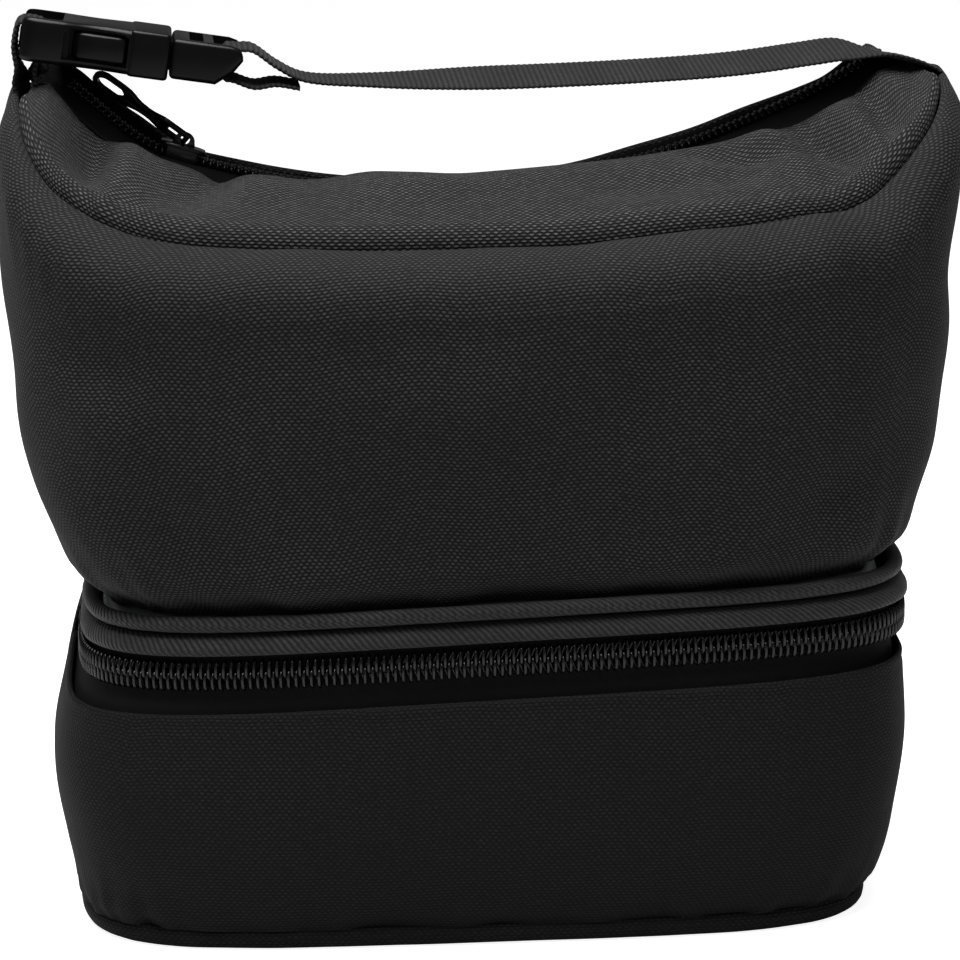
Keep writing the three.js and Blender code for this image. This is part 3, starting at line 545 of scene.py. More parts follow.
def plastic_finish(name, colour, roughness, specular=0.5):
    """Grained plastic, lighter and smoother where it is worn"""
    material, tree, shader, place = bare_finish(name, roughness, specular=specular)
    grain = speckle(tree, place.outputs["Object"], 2600.0, 3.0)
    worn = add_node(tree, "ShaderNodeAttribute", {}, "Fac", attribute_name="worn")
    scuffs = graded(tree, speckle(tree, place.outputs["Object"], 240.0, 4.0), 0.2, 1.0, 0.35, 0.65)
    wear = maths(tree, "MULTIPLY", worn, scuffs)
    level = maths(tree, "MULTIPLY_ADD", wear, 1.6, graded(tree, grain, 0.85, 1.15, 0.3, 0.7))
    coloured(tree, shader, colour, level)
    unworn = graded(tree, grain, roughness - 0.04, roughness + 0.05)
    tree.links.new(maths(tree, "MULTIPLY_ADD", wear, -0.12, unworn), shader.inputs["Roughness"])
    bumped(tree, shader, grain, 0.02)
    return material


def film_finish(name, colour, roughness, metal=0.0):
    """Crumpled film or foam"""
    material, tree, shader, place = bare_finish(name, roughness, metal=metal)
    folds = speckle(tree, place.outputs["Object"], 60.0, 5.0)
    coloured(tree, shader, colour, graded(tree, folds, 0.8, 1.15, 0.3, 0.7))
    bumped(tree, shader, folds, 1.2, 0.6)
    return material


BLACK_CLOTH = (0.0165, 0.0165, 0.0172)
OUTER = woven_finish(
    "outer_weave", BLACK_CLOTH, plain_weave, OUTER_THREADS, 0.72, 0.04, 0.0, 2.5, 0.2, sharp=1.45
)
# The top panels: the outer weave's black with much stronger painted highlight on the crowns and painted
# shade in the holes, a lit copy of it
TOP_CLOTH = woven_finish(
    "top_weave", BLACK_CLOTH, plain_weave, TOP_THREADS, 0.72, 0.05, 0.0, 5.6, 0.3, sharp=2.4
)
# The lower compartment: the outer weave made about three times darker, as painted shade
BASE_CLOTH = woven_finish(
    "base_weave", (0.0054, 0.0054, 0.0057), plain_weave, OUTER_THREADS, 0.7, 0.01, 0.0, 2.2, 0.18, sharp=1.1
)
TWILL = woven_finish(
    "twill_band", (0.0245, 0.0245, 0.0254), twill_weave, (0.85, 0.85), 0.5, 0.08, 0.05, 1.8, 0.26
)
# Zip tape: black, and made darker still as painted shade where it lies in shadow beside the coils
TAPE = woven_finish(
    "zip_tape", (0.0016, 0.0016, 0.0017), twill_weave, (0.42, 0.42), 0.85, 0.0, 0.4, 1.6, 0.06
)
WEB = woven_finish(
    "handle_webbing", (0.0115, 0.0115, 0.0119), ribbed_weave, (RIB, 0.62), 0.75, 0.06, 0.02, 2.1, 0.3,
    sharp=1.2,
)
BUCKLE = plastic_finish("buckle_plastic", (0.002, 0.002, 0.0022), 0.3, 0.22)
COIL = plastic_finish("zip_coil", (0.0022, 0.0022, 0.0024), 0.27)
METAL = plastic_finish("slider_enamel", (0.006, 0.006, 0.0063), 0.22)
LINING = film_finish("lining_film", (0.42, 0.44, 0.46), 0.36, 0.35)
FOAM = film_finish("foam_sheet", (0.62, 0.62, 0.6), 0.9)


# Swell and gathers of the cloth
def dent(x, y, z, depth, seed):
    return depth * (ripple(x, y, z, 52, seed) + 0.35 * ripple(x, y, z, 23, seed + 3))


def pucker(run, edge, size, depth, reach, seed):
    """Gathers beside a seam, fading away from it"""
    wave = ripple(run, 0, edge * 0.4, size, seed)
    return depth * wave * math.exp(-edge / reach)


def ridge(x, y, start, end, height, width):
    """Height of one soft ridge that runs between two points"""
    ax, ay, bx, by = x - start[0], y - start[1], end[0] - start[0], end[1] - start[1]
    long = clamp((ax * bx + ay * by) / (bx * bx + by * by))
    away = math.hypot(ax - bx * long, ay - by * long)
    return height * bell(away, width) * (0.45 + 0.55 * arch(long))


# Soft creases of the upper front: from (x, z) to (x, z), depth (out where positive) and width
CREASES = (
    ((-96, 128), (-60, 98), -1.8, 9), ((-104, 150), (-84, 118), 1.4, 8), ((70, 96), (104, 128), -1.6, 9),
    ((44, 97), (92, 104), 2.0, 7), ((-70, 99), (-30, 95), 1.5, 6), ((-30, 118), (30, 104), -1.0, 14),
    ((-60, 152), (-8, 136), 1.2, 16), ((30, 154), (84, 136), -1.1, 15), ((96, 168), (108, 138), -1.5, 7),
    ((-108, 172), (-96, 150), -1.5, 7), ((-104, 158), (-78, 152), -2.2, 9), ((80, 156), (104, 162), -2.2, 9),
)


def wall_run(angle):
    """About how far round the wall an angle lies"""
    return angle * 104.0


def rim_gather(angle, seed):
    """Gathers of the cloth on both sides of the rim's seam"""
    run = wall_run(angle)
    return pucker(run, 7, 13, 1.5, 10, seed) + 0.4 * pucker(run, 6, 5, 1.5, 10, seed + 3)


def upper_swell(angle, z):
    """How far the soft upper wall stands out of its plain form"""
    flat = on_wall(angle, z)
    shoulder = rim_height(angle) - 17
    swell = dent(flat.x, flat.y, z, 3.0, 1) * between(z, UPPER_FOOT, UPPER_FOOT + 26)
    if flat.y < 0:
        swell += sum(ridge(flat.x, z, *crease) for crease in CREASES)
    return swell * (1 - between(z, shoulder - 26, shoulder))


# Lower compartment
LOWER_FOLD = 0.94  # share of the wall's rows below its folded edge


def lower_wall(u, v):
    """Wall from the base piping up to the edge below the zip, which folds in"""
    angle = TURN * u
    if v > LOWER_FOLD:
        turn = (v - LOWER_FOLD) / (1 - LOWER_FOLD)
        return on_wall(angle, LOWER_TOP - 1.2 * turn * turn, 0.2 + 1.4 * turn)
    z = lerp(LOWER_FOOT, LOWER_TOP, v / LOWER_FOLD)
    flat = on_wall(angle, z)
    swell = dent(flat.x, flat.y, z, 1.5, 5) * between(z, 6, 22) * (1 - between(z, 50, 64))
    gather = pucker(wall_run(angle), z - LOWER_FOOT, 7.5, 1.5, 7, 8)
    tuck = 1.6 * bell(z - LOWER_FOOT, 2.4) + 0.5 * bell(z - (LOWER_TOP - 1.9), 0.8)
    return on_wall(angle, z, tuck - swell - gather - 0.2)


lower_cloth = cloth(
    "lower_cloth", 340, 40, lower_wall, closed=True, thick=CLOTH
)
dress(lower_cloth, BASE_CLOTH, LOWER, "lower_shell")

# Stitches: short threads that lie on the cloth in a line below its fold
STITCH, SEAM = 3.2, 650
STITCH_ROW = LOWER_FOLD * (LOWER_TOP - 2.2 - LOWER_FOOT) / (LOWER_TOP - LOWER_FOOT)
threads = [
    [lower_wall((n + part) * STITCH / SEAM, STITCH_ROW) for part in (0, 0.35, 0.7)]
    for n in range(int(SEAM / STITCH))
]
dress(wire("edge_stitches", threads, 0.42, 0), TAPE, LOWER)


def base_face(u, v):
    """Underside of the bag: a panel that is a little hollow between its piping"""
    share = 0.02 + 0.98 * v
    inset = 2 * BASE_CORD - 0.6
    across, along = shares(TURN * u)
    x = across * (half_size(0, 1) - inset) * share + sway(0)
    y = along * (half_size(0, 2) - inset) * share
    return Vector((x, y, 0.1 + 0.5 * (1 - share**4) + 0.25 * (1 + ripple(x, y, 0, 30, 2))))


base_cloth = cloth("base_cloth", 120, 20, base_face, closed=True)
in_edit(base_cloth, fill_openings)
dress(base_cloth, BASE_CLOTH, LOWER, "base_panel")


def round_body(z, radius, inset, flat=1.0):
    """Middle line and section of a cord sewn round the body"""

    def centre(u):
        here = on_wall(TURN * u, z, inset + radius)
        out = on_wall(TURN * u, z, inset) - here
        out.z = 0
        return here, out.normalized(), Vector((0, 0, 1))

    def section(u, v):
        turn = TURN * v
        bulge = radius + 0.12 * ripple(u * 90, 0, math.sin(turn) * 2, 1.6, 4)
        return bulge * math.cos(turn), bulge * flat * math.sin(turn)

    return centre, section


base_piping = tube("base_cord", 260, 16, *round_body(BASE_CORD, BASE_CORD - 0.15, 0.2), closed=True)
dress(base_piping, BASE_CLOTH, LOWER, "base_piping")
waist_piping = tube(
    "waist_cord", 260, 16, *round_body(CORD_Z, WAIST_CORD - 0.3, -1.1, 0.86), closed=True
)
dress(waist_piping, TWILL, UPPER, "waist_piping")


# Foam and lining
def inner_wall(low, high, inset, seed, hem=2.0):
    """A layer inside the wall, whose top edge rolls over"""

    def place(u, v):
        angle = TURN * u
        top = high(angle) if callable(high) else high
        turn = between(v, 0.93, 1.0)
        z = lerp(low, top, min(v / 0.95, 1.0)) - 0.4 * turn
        flat = on_wall(angle, z, inset)
        wave = 0.5 * ripple(flat.x, flat.y, z, 34, seed) * between(z, low, low + 12)
        under = foot_tuck(z) - upper_swell(angle, z) if z > BAND_TOP else 0.0
        return on_wall(angle, z, inset + 0.3 + abs(wave) + under - hem * turn * 0.4)

    return place


def below_rim(drop):
    return lambda angle: rim_height(angle) - drop


def layer_between(low, high, inset):
    """Profile of a pad that fills the body from one height to another, with rounded sides"""
    rim, thick = 0.06, high - low

    def place(u, v):
        across, along = shares(TURN * u)
        if v < 0.4:
            share, z = lerp(0.02, 1 - rim, v / 0.4), low
        elif v > 0.6:
            share, z = lerp(1 - rim, 0.02, (v - 0.6) / 0.4), high
        else:
            turn = math.pi * (v - 0.5) / 0.2
            share = 1 - rim + rim * math.cos(turn)
            z = (low + high) / 2 + thick / 2 * math.sin(turn)
        x = across * (half_size(low, 1) - inset) * share + sway(low)
        y = along * (half_size(low, 2) - inset) * share
        soft = 0.25 * thick * ripple(x, y, 0, 40, 3) * (1 - share**4) if v > 0.5 else 0.0
        return Vector((x, y, z + soft + lean(low) * x))

    return place


lower_lining = cloth(
    "lower_lining_film", 160, 24, inner_wall(9.2, LOWER_TOP - 4.5, 6.2, 11), closed=True, thick=0.6,
)
dress(lower_lining, LINING, LOWER, "lower_lining")


def pad(name, place, columns, rows, thick, finish, body, *nodes):
    """Padding: a wall with a thickness, or a solid pad whose poles are closed"""
    piece = cloth(name, columns, rows, place, closed=True, thick=thick)
    if not thick:
        in_edit(piece, fill_openings, face_outwards)
    dress(piece, finish, body)
    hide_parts(*nodes)


base_fill, divider_fill = layer_between(1.6, 8.4, 7.2), layer_between(79.9, 87.2, 4.9)
lower_wall_fill = inner_wall(9.2, LOWER_TOP - 8.5, 2.4, 21, hem=-2.0)
upper_wall_fill = inner_wall(91.5, below_rim(20), 1.9, 22, hem=-3.0)
pad("base_pad", base_fill, 120, 40, 0, LINING, LOWER, "base_board", "base_foam")
pad("divider_pad", divider_fill, 120, 40, 0, LINING, UPPER, "divider_panel", "divider_foam")
pad("lower_foam_wall", lower_wall_fill, 140, 18, 3.6, FOAM, LOWER, "lower_foam")
pad("upper_foam_wall", upper_wall_fill, 140, 30, 3.6, FOAM, UPPER, "upper_foam")

upper_lining = cloth(
    "upper_lining_film", 160, 36, inner_wall(90.5, below_rim(18), 6.6, 12), closed=True, thick=0.6,
)
dress(upper_lining, LINING, UPPER, "upper_lining")

# The lower zip goes round the front and both sides
ZIP_FROM, ZIP_TURN = math.radians(162), math.radians(216)


def lower_tape(u, v):
    """Tape sewn inside the lower wall, that comes out above its edge to the zip"""
    angle = ZIP_FROM + ZIP_TURN * u
    z = lerp(59.0, PARTING - 0.7, v)
    wave = 0.15 * ripple(wall_run(angle), z, 0, 14, 31)
    sewn, free = on_wall(angle, z, 2.3 + wave), on_wall(angle, z, TAPE_INSET + wave, PARTING)
    return sewn.lerp(free, between(z, LOWER_TOP - 0.5, LOWER_TOP + 4.5))


def upper_tape(u, v):
    """Tape from the lower zip up behind the waist band"""
    angle = ZIP_FROM + ZIP_TURN * u
    z = lerp(PARTING + 0.7, BAND_TOP, v)
    return on_wall(angle, z, TAPE_INSET + 0.15 * ripple(wall_run(angle), z, 0, 14, 32), PARTING)


for name, place, body, node in (
    ("lower_tape", lower_tape, LOWER, "lower_zip_tape_lower"),
    ("upper_tape", upper_tape, UPPER, "lower_zip_tape_upper"),
):
    dress(cloth(name, 240, 8, place, thick=0.5), TAPE, body, node)


def waist_wrap(u, v):
    """Padded twill band between the piping and the lower zip, with its edge folded under"""
    angle = TURN * u
    z = lerp(BAND_BOTTOM, BAND_TOP + 0.8, v)
    fold, seam = 1.6 * bell(v, 0.07), 0.8 * bell(1 - v, 0.1)
    swell = 2.3 * arch(v**0.7) ** 0.7
    wave = 0.35 * ripple(wall_run(angle), z, 0, 9, 33) + 0.3 * ripple(wall_run(angle), z, 0, 30, 34)
    return on_wall(angle, z, 1.4 - swell + fold + seam - wave * arch(v))


waist_band = cloth("waist_wrap", 340, 14, waist_wrap, closed=True, thick=CLOTH)
dress(waist_band, TWILL, UPPER, "waist_band")


def hinge_strip(u, v):
    """Strip at the back, tucked in behind the lower edge of the waist band"""
    angle = math.radians(18 + 144 * u)
    z = lerp(LOWER_TOP - 6, BAND_BOTTOM + 0.7, v)
    sewn = 0.8 * (between(u, 0.04, 0) + between(u, 0.96, 1)) + 3.2 * between(v, 0.82, 1)
    wave = 0.25 * ripple(wall_run(angle), z, 0, 16, 35) - 0.2 * arch(v)
    return on_wall(angle, z, sewn - 1.15 + wave)


hinge = cloth("hinge_strip", 150, 14, hinge_strip, thick=0.9)
dress(hinge, TWILL)
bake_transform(hinge)
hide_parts("hinge_tape")


# Upper compartment
WALL_SHARE, ROLL_SHARE = 0.8, 0.95  # shares of the cloth's rows where its wall and its rolled rim end
ROLL_TURN = 84


def seam_spot(angle):
    """Bottom of the groove between the upper wall and the top"""
    square = shares(angle)[1] ** 2
    spot = on_wall(angle, rim_height(angle), rim_roll(angle) + lerp(1.2, 1.4, square))
    spot.z -= lerp(1.6, 4.2, square)
    return spot


def upper_wall(u, v):
    """Wall with gathers at its seams, that rolls in over the rim and down into its groove"""
    angle = TURN * u
    rim, roll, rise = rim_height(angle), rim_roll(angle), roll_rise(angle)
    shoulder = rim - rise
    square = shares(angle)[1] ** 2
    gather = rim_gather(angle, 3)
    if v <= WALL_SHARE:
        z = lerp(UPPER_FOOT, shoulder, v / WALL_SHARE)
        at_foot = pucker(wall_run(angle), z - UPPER_FOOT, 8.5, 2.6, 9, 2)
        at_rim = gather * between(z, shoulder - 16, shoulder)
        return on_wall(angle, z, foot_tuck(z) - upper_swell(angle, z) - at_foot - at_rim)
    if v <= ROLL_SHARE:
        turn = math.radians(ROLL_TURN * (v - WALL_SHARE) / (ROLL_SHARE - WALL_SHARE))
        inset = roll * (1 - math.cos(turn)) - gather * math.cos(turn)
        point = on_wall(angle, rim - rise * (1 - math.sin(turn)), inset)
        point.z -= 1.4 * square + 0.8 * gather * math.sin(turn) * square
        return point
    turn = math.pi / 2 * (v - ROLL_SHARE) / (1 - ROLL_SHARE)
    edge = on_wall(angle, rim, roll * (1 - math.cos(math.radians(ROLL_TURN))))
    edge.z -= 1.4 * square + 0.8 * gather * square
    deep = seam_spot(angle)
    point = edge.lerp(deep, math.sin(turn))
    point.z = lerp(edge.z, deep.z, 1 - math.cos(turn))
    return point


upper_cloth = cloth(
    "upper_cloth", 360, 72, upper_wall, closed=True, thick=CLOTH
)
dress(upper_cloth, OUTER, UPPER, "upper_shell")

EAR_X = half_size(EAR_TOP, 1) - 6.2
# Folds of the soft top: from (x, y) to (x, y), height (down where negative) and width
FOLDS = (
    ((-96, -12), (-99, -44), -7, 5), ((-86, -12), (-90, -50), 3.4, 5.5), ((-107, -14), (-110, -40), 2.8, 5),
    ((-66, -10), (-78, -50), -3.2, 6), ((-50, -14), (-60, -44), 1.8, 8), ((-84, -56), (-40, -60), 1.2, 6),
    ((102, -14), (107, -44), -6.0, 4.5), ((93, -12), (99, -50), 3.0, 5), ((82, -14), (96, -48), -5.0, 5),
    ((72, -10), (84, -40), 3.2, 6), ((56, -22), (80, -30), -3.4, 5), ((30, -40), (74, -38), -2.0, 8),
    ((-95, 10), (-99, 46), -3.0, 8), ((-74, 10), (-70, 40), -1.6, 9), ((96, 12), (98, 50), -3.0, 8),
    ((60, 10), (66, 46), -1.6, 9), ((-20, -30), (30, -22), 1.3, 9), ((-20, 12), (24, 40), -1.2, 12),
)


def edge_lift(x, side):
    """How far the edge of the front (side -1) or back (side 1) panel stands above the zip tape"""
    if side > 0:
        high = 3.4 + between(x, 25, 45) - 1.4 * between(x, 66, 100)
        return high + 4.0 * between(x, -70, -86) * between(x, -112, -98) + 1.6 * between(x, 92, 104)
    raised = 5.2 * between(x, -48, -24) * (1 - between(x, 0, 60))
    raised -= 4.2 * between(x, 50, 88) * (1 - 0.7 * between(x, 98, 105))
    sunk = 3.4 * between(x, -84, -95) * between(x, -109, -99) + 0.8 * between(x, -56, -62)
    return raised - sunk - 2.0 * bell(x + 65, 3.5)


TOP_ROLL_SHARE = 0.12  # share of a top panel's rows that rolls up out of the rim's seam


def top_half(side, u, v):
    """Front or back panel of the top, from the rim's seam to the zip"""
    angle = math.radians(3 + 174 * u) + (0 if side > 0 else math.pi)
    square = shares(angle)[1] ** 2
    rim, roll = rim_height(angle), rim_roll(angle)
    seam = seam_spot(angle)
    reach, height = lerp(1.6, 5.0, square), lerp(2.6, 8.4, square)
    gather = rim_gather(angle, 43)
    by_strap = 1 - between(abs(seam.y), 13, 18)
    top_inset = lerp(roll + 1.2 + reach, 6.5, by_strap)
    edge = on_wall(angle, rim, top_inset)
    edge.z = lerp(seam.z + height + gather, edge.z, by_strap)
    if v < TOP_ROLL_SHARE and by_strap < 1:
        turn = math.radians(lerp(-16, 90, v / TOP_ROLL_SHARE))
        fore = roll + 1.2 + reach * (1 - math.cos(turn)) - gather * 0.6 * math.cos(turn)
        point = on_wall(angle, rim, lerp(fore, top_inset, by_strap))
        rolled = seam.z + (height + gather) * (math.sin(turn) + 0.28) / 1.28
        point.z = lerp(rolled, edge.z - 2 * (1 - v / TOP_ROLL_SHARE), by_strap)
        return point
    x_end = edge.x / (EAR_X + 3) * EAR_X
    close = ZIP_LEFT - 2 if x_end < 0 else ZIP_RIGHT + 2
    past = clamp((abs(x_end) - abs(close)) / (EAR_X - abs(close)))
    ease = smooth(past)
    zip_z = lerp(zip_height(close), EAR_TOP + 1.4, ease) if past > 0 else zip_height(x_end)
    waver = 0.7 * ripple(x_end, side * 5, 0, 18, 41) * (1 - ease)
    lift = 0.4 + edge_lift(x_end, side) * (1 - ease)
    inner = Vector((x_end, side * (lerp(7.6, 0.6, ease) + waver), zip_z + lift))
    share = clamp((v - TOP_ROLL_SHARE) / (1 - TOP_ROLL_SHARE))
    point = edge.lerp(inner, share)
    crown = 0.6 * arch(share) if side > 0 else 2.6 * arch(share) + 1.6 * arch(share**3)
    loose = arch(share) ** 0.5 * (1 - past)
    folds = sum(ridge(point.x, point.y, *fold) for fold in FOLDS)
    point.z += crown * (1 - past) * square
    point.z += (folds + 1.3 * ripple(point.x, point.y, 0, 24, 42)) * loose
    point.z += pucker(wall_run(angle), share * 60, 8, 1.6, 9, 43) * loose
    if share > 0.93 and past < 1:
        point.z -= (2.4 if side > 0 else 1.0) * ((share - 0.93) / 0.07) ** 2
    return point


def top_filling(side, u, v):
    """Padding under a panel of the top"""
    return top_half(side, 0.03 + 0.94 * u, 0.2 + 0.66 * v) - Vector((0, 0, 1.9))


def top_tape(side, u, v):
    """Tape from the zip out under the edge of its panel, which lifts it"""
    x = lerp(ZIP_RIGHT + 6, ZIP_LEFT - 6, u)
    reach = lerp(0.7, 10.5, v if side > 0 else 1 - v)
    hem = 2.0 if side > 0 else 0.6
    rise = (edge_lift(x, side) - hem) * between(reach, 4.4, 8.2)
    return Vector((x, side * reach, min(zip_height(x), EAR_TOP + 1.2) + rise - 0.25))


for side, word in HALVES:
    half = cloth(
        f"top_{word}", 220, 60, partial(top_half, side), thick=1.2,
    )
    dress(half, TOP_CLOTH, UPPER, f"top_panel_{word}")
    filling = cloth(f"top_filling_{word}", 90, 24, partial(top_filling, side), thick=2.4)
    dress(filling, LINING, UPPER)
    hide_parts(f"top_pad_{word}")
    tape = cloth(
        f"top_tape_{word}", 160, 14, partial(top_tape, side), thick=0.6
    )
    in_edit(tape, face_outwards)
    dress(tape, TAPE, UPPER, f"top_zip_tape_{word}")


# Zips
# One turn of the coil: reach from the middle of the zip, height over the tape and share of the pitch
TOOTH = (
    (3.55, 0.95, 0.0), (3.4, 1.6, 0.0), (2.7, 2.0, 0.0), (1.4, 2.1, 0.0), (0.2, 2.1, 0.0),
    (-0.55, 1.75, 0.0), (-0.7, 1.1, 0.04), (-0.2, 0.62, 0.14), (1.4, 0.5, 0.5), (3.0, 0.55, 0.86),
)


def coil(name, frame_at, side, open_where, body, node):
    """A row of the zip: one wire bent into teeth, which reach across its middle where the zip is shut"""
    steps = 1500
    run = distances([frame_at(n / steps)[0] for n in range(steps + 1)])
    points = []
    for n in range(int(run[-1] / ZIP_PITCH) - 1):
        for reach, height, share in TOOTH:
            step, part = step_at(run, (n + share + (0.5 if side > 0 else 0.0)) * ZIP_PITCH)
            here, across, out = frame_at((step + part) / steps)
            points.append(here + across * side * (reach + 0.9 * open_where(here)) + out * height)
    dress(wire(name, [points], 0.86, 1), COIL, body, node)


def lower_zip_frame(t):
    """Place on the middle of the zip, with its directions across and out of it"""
    angle = ZIP_FROM + ZIP_TURN * t
    here = on_wall(angle, PARTING, TAPE_INSET, PARTING)
    out = on_wall(angle, PARTING, TAPE_INSET - 1, PARTING) - here
    out.z = 0
    return here, Vector((0, 0, 1)), out.normalized()


def top_zip_frame(t):
    x = lerp(ZIP_RIGHT, ZIP_LEFT, t)
    slope = math.atan(zip_height(x + 0.5) - zip_height(x - 0.5))
    out = Vector((-math.sin(slope), 0, math.cos(slope)))
    return Vector((x, 0, zip_height(x))), Vector((0, 1, 0)), out


def lower_zip_open(here):
    """The last of the lower zip, behind its slider, is open"""
    return between(here.y, 17, 24) if here.x > 0 else 0.0


def top_zip_open(here):
    """The top zip is open to the left of its slider"""
    return between(here.x, TOP_SLIDER_X + 5, TOP_SLIDER_X - 4)


for side, word, body in ((-1, "lower", LOWER), (1, "upper", UPPER)):
    coil(f"lower_zip_{word}_row", lower_zip_frame, side, lower_zip_open, body, f"lower_zip_coil_{word}")
for side, word in HALVES:
    coil(f"top_zip_{word}_row", top_zip_frame, side, top_zip_open, UPPER, f"top_zip_coil_{word}")


def mark_wear(piece):
    """Marks the outer corners of a moulded piece, where its surface is rubbed"""
    mesh = piece.data
    faces_at = {}
    for face in mesh.polygons:
        for corner in face.vertices:
            faces_at.setdefault(corner, []).append(face.normal)
    worn = mesh.attributes.new("worn", "FLOAT", "POINT")
    for corner in mesh.vertices:
        normals = faces_at.get(corner.index, [])
        least = min((a.dot(b) for a in normals for b in normals), default=1)
        worn.data[corner.index].value = clamp((1 - least) * 1.6)


def finish_hard(piece, finish, body, place, node):
    """Sets a hard piece in its place on the bag and stands it for its CAD node"""
    mark_wear(piece)
    piece.data.transform(place)
    only(piece)
    bpy.ops.object.shade_smooth_by_angle(angle=math.radians(35))
    dress(piece, finish, body, node)


UPRIGHT = turned(90, "X")
EYE_HEIGHT = 5.55  # of the slider's eye, through which its pull goes


def slider_body(name):
    """Zip slider along X over a zip whose tape is at height 0"""
    nose = mirrored([(-6, 2.6), (-4.6, 4.2), (0, 4.65), (4.6, 4.5), (6, 3.0)])
    top = moulding(name, nose, 3.0, 4.2, 0.45, 3)
    under = moulding("under_plate", nose, -2.3, -1.1, 0.35, 2)
    lips = [
        slab("lip", (-4, side * 4.35 - 0.3, 0.3), (4, side * 4.35 + 0.3, 3.3), 0.15) for side in (-1, 1)
    ]
    wedge = moulding("wedge", mirrored([(1, 0.25), (4.8, 0.7)]), -1.6, 3.4)
    hoop = [(-3.1, 4.0), (3.1, 4.0)]
    for n in range(13):
        turn = math.pi * n / 12
        hoop.append((2.4 * math.cos(turn) * (1.08 - 0.08 * math.sin(turn)), 5.5 + 2.0 * math.sin(turn)))
    bridge = moulding("bridge", hoop, -1.0, 1.0, 0.3, 2)
    bridge.data.transform(UPRIGHT)
    eye = primitive(
        "eye", bpy.ops.mesh.primitive_cylinder_add, radius=1.25 * MM, depth=8 * MM, vertices=24,
        location=(0, 0, EYE_HEIGHT * MM), rotation=(math.radians(90), 0, 0),
    )
    carve(bridge, eye)
    return carve(top, under, *lips, wedge, bridge, operation="UNION")


def bezier(p0, p1, p2, p3):
    """Five points on from the first along a smooth bend"""
    spots = []
    for n in range(1, 6):
        t = n / 5
        k = 1 - t
        spots.append(tuple(
            k**3 * a + 3 * k * k * t * b + 3 * k * t * t * c + t**3 * d for a, b, c, d in zip(p0, p1, p2, p3)
        ))
    return spots


def pull_tab(name):
    """Pull along +X from the cross bar that it hangs by, with an open loop at its end"""
    root, shaft, end, long = 2.6, 1.5, 3.8, 28.5
    hole_end, hole = long - end, 2.35
    side = [(-0.65, root), (6.2, root)]
    side += bezier((6.2, root), (9, root), (9, shaft), (12, shaft))
    side += bezier((12, shaft), (17, shaft), (16, end), (21, end))
    tip = arc(hole_end, 0, end, range(-75, 76, 15))
    tab = moulding(name, [(x, -y) for x, y in side] + tip + side[::-1], -0.6, 0.6)
    grip = [(19.4, -1.2), (20.6, -hole)]
    grip += arc(hole_end, 0, hole, range(-90, 91, 20)) + [(20.6, hole), (19.4, 1.2)]
    carve(
        tab,
        moulding("grip_hole", grip, -2, 2),
        slab("eye_hole", (0.65, -1.4, -2), (5.2, 1.4, 2)),
        slab("groove", (8.2, -0.55, 0.42), (18.2, 0.55, 2)),
    )
    return bevel(tab, 0.3, 2, 50)


# The top slider stands along the arc of its zip, and its pull lies back and leans over
swing = math.degrees(math.asin((TOP_SLIDER_X - ZIP_LOW_X) / ZIP_RADIUS))
on_arc = moved(TOP_SLIDER_X, 0, zip_height(TOP_SLIDER_X)) @ turned(-swing, "Y") @ turned(180, "Z")
hanging = on_arc @ moved(0, 0, EYE_HEIGHT) @ turned(180, "Z") @ turned(swing - 143, "Y") @ turned(36, "X")
finish_hard(slider_body("top_slider_body"), METAL, "top_slider", on_arc, "top_zip_slider")
finish_hard(pull_tab("top_pull_tab"), METAL, "top_pull", hanging, "top_zip_pull")

# The lower slider stands on the right side, which bows with a wide radius
LOWER_SLIDER_X, LOWER_SLIDER_Y, LOWER_SLIDER_Z = 103.233, 22, 77.016
LOWER_PULL_X, LOWER_PULL_Y = 108.831, 22.143
SIDE_RADIUS = 864
bow = math.asin(LOWER_SLIDER_Y / SIDE_RADIUS)
zip_shift = sway(PARTING) + waist_pull(1, PARTING)
along, out = Vector((-math.sin(bow), math.cos(bow), 0)), Vector((math.cos(bow), math.sin(bow), 0))
side_turn = Matrix((along, Vector((0, 0, 1)), out)).transposed().to_4x4()


def on_side(x, y):
    return moved(x + zip_shift, y, LOWER_SLIDER_Z) @ side_turn


finish_hard(slider_body("lower_slider_body"), METAL, "lower_slider",
            on_side(LOWER_SLIDER_X, LOWER_SLIDER_Y), "lower_zip_slider")
finish_hard(pull_tab("lower_pull_tab"), METAL, "lower_pull",
            on_side(LOWER_PULL_X, LOWER_PULL_Y), "lower_zip_pull")


# Buckle, along +X from its webbing bar
BUCKLE_LENGTH, BUCKLE_HALF = 56.5, 15.5
BUCKLE_PLACE = moved(-86.5, 0, EAR_TOP + 7.8) @ turned(8.5, "Y") @ moved(-BUCKLE_LENGTH / 2, 0, 0)


def side_shape(name, outline, low, high, edge=0.0, segments=3):
    """A moulding drawn in side view and carried across the buckle, from y = -high to -low"""
    piece = moulding(name, outline, low, high, edge, segments)
    piece.data.transform(UPRIGHT)
    return piece


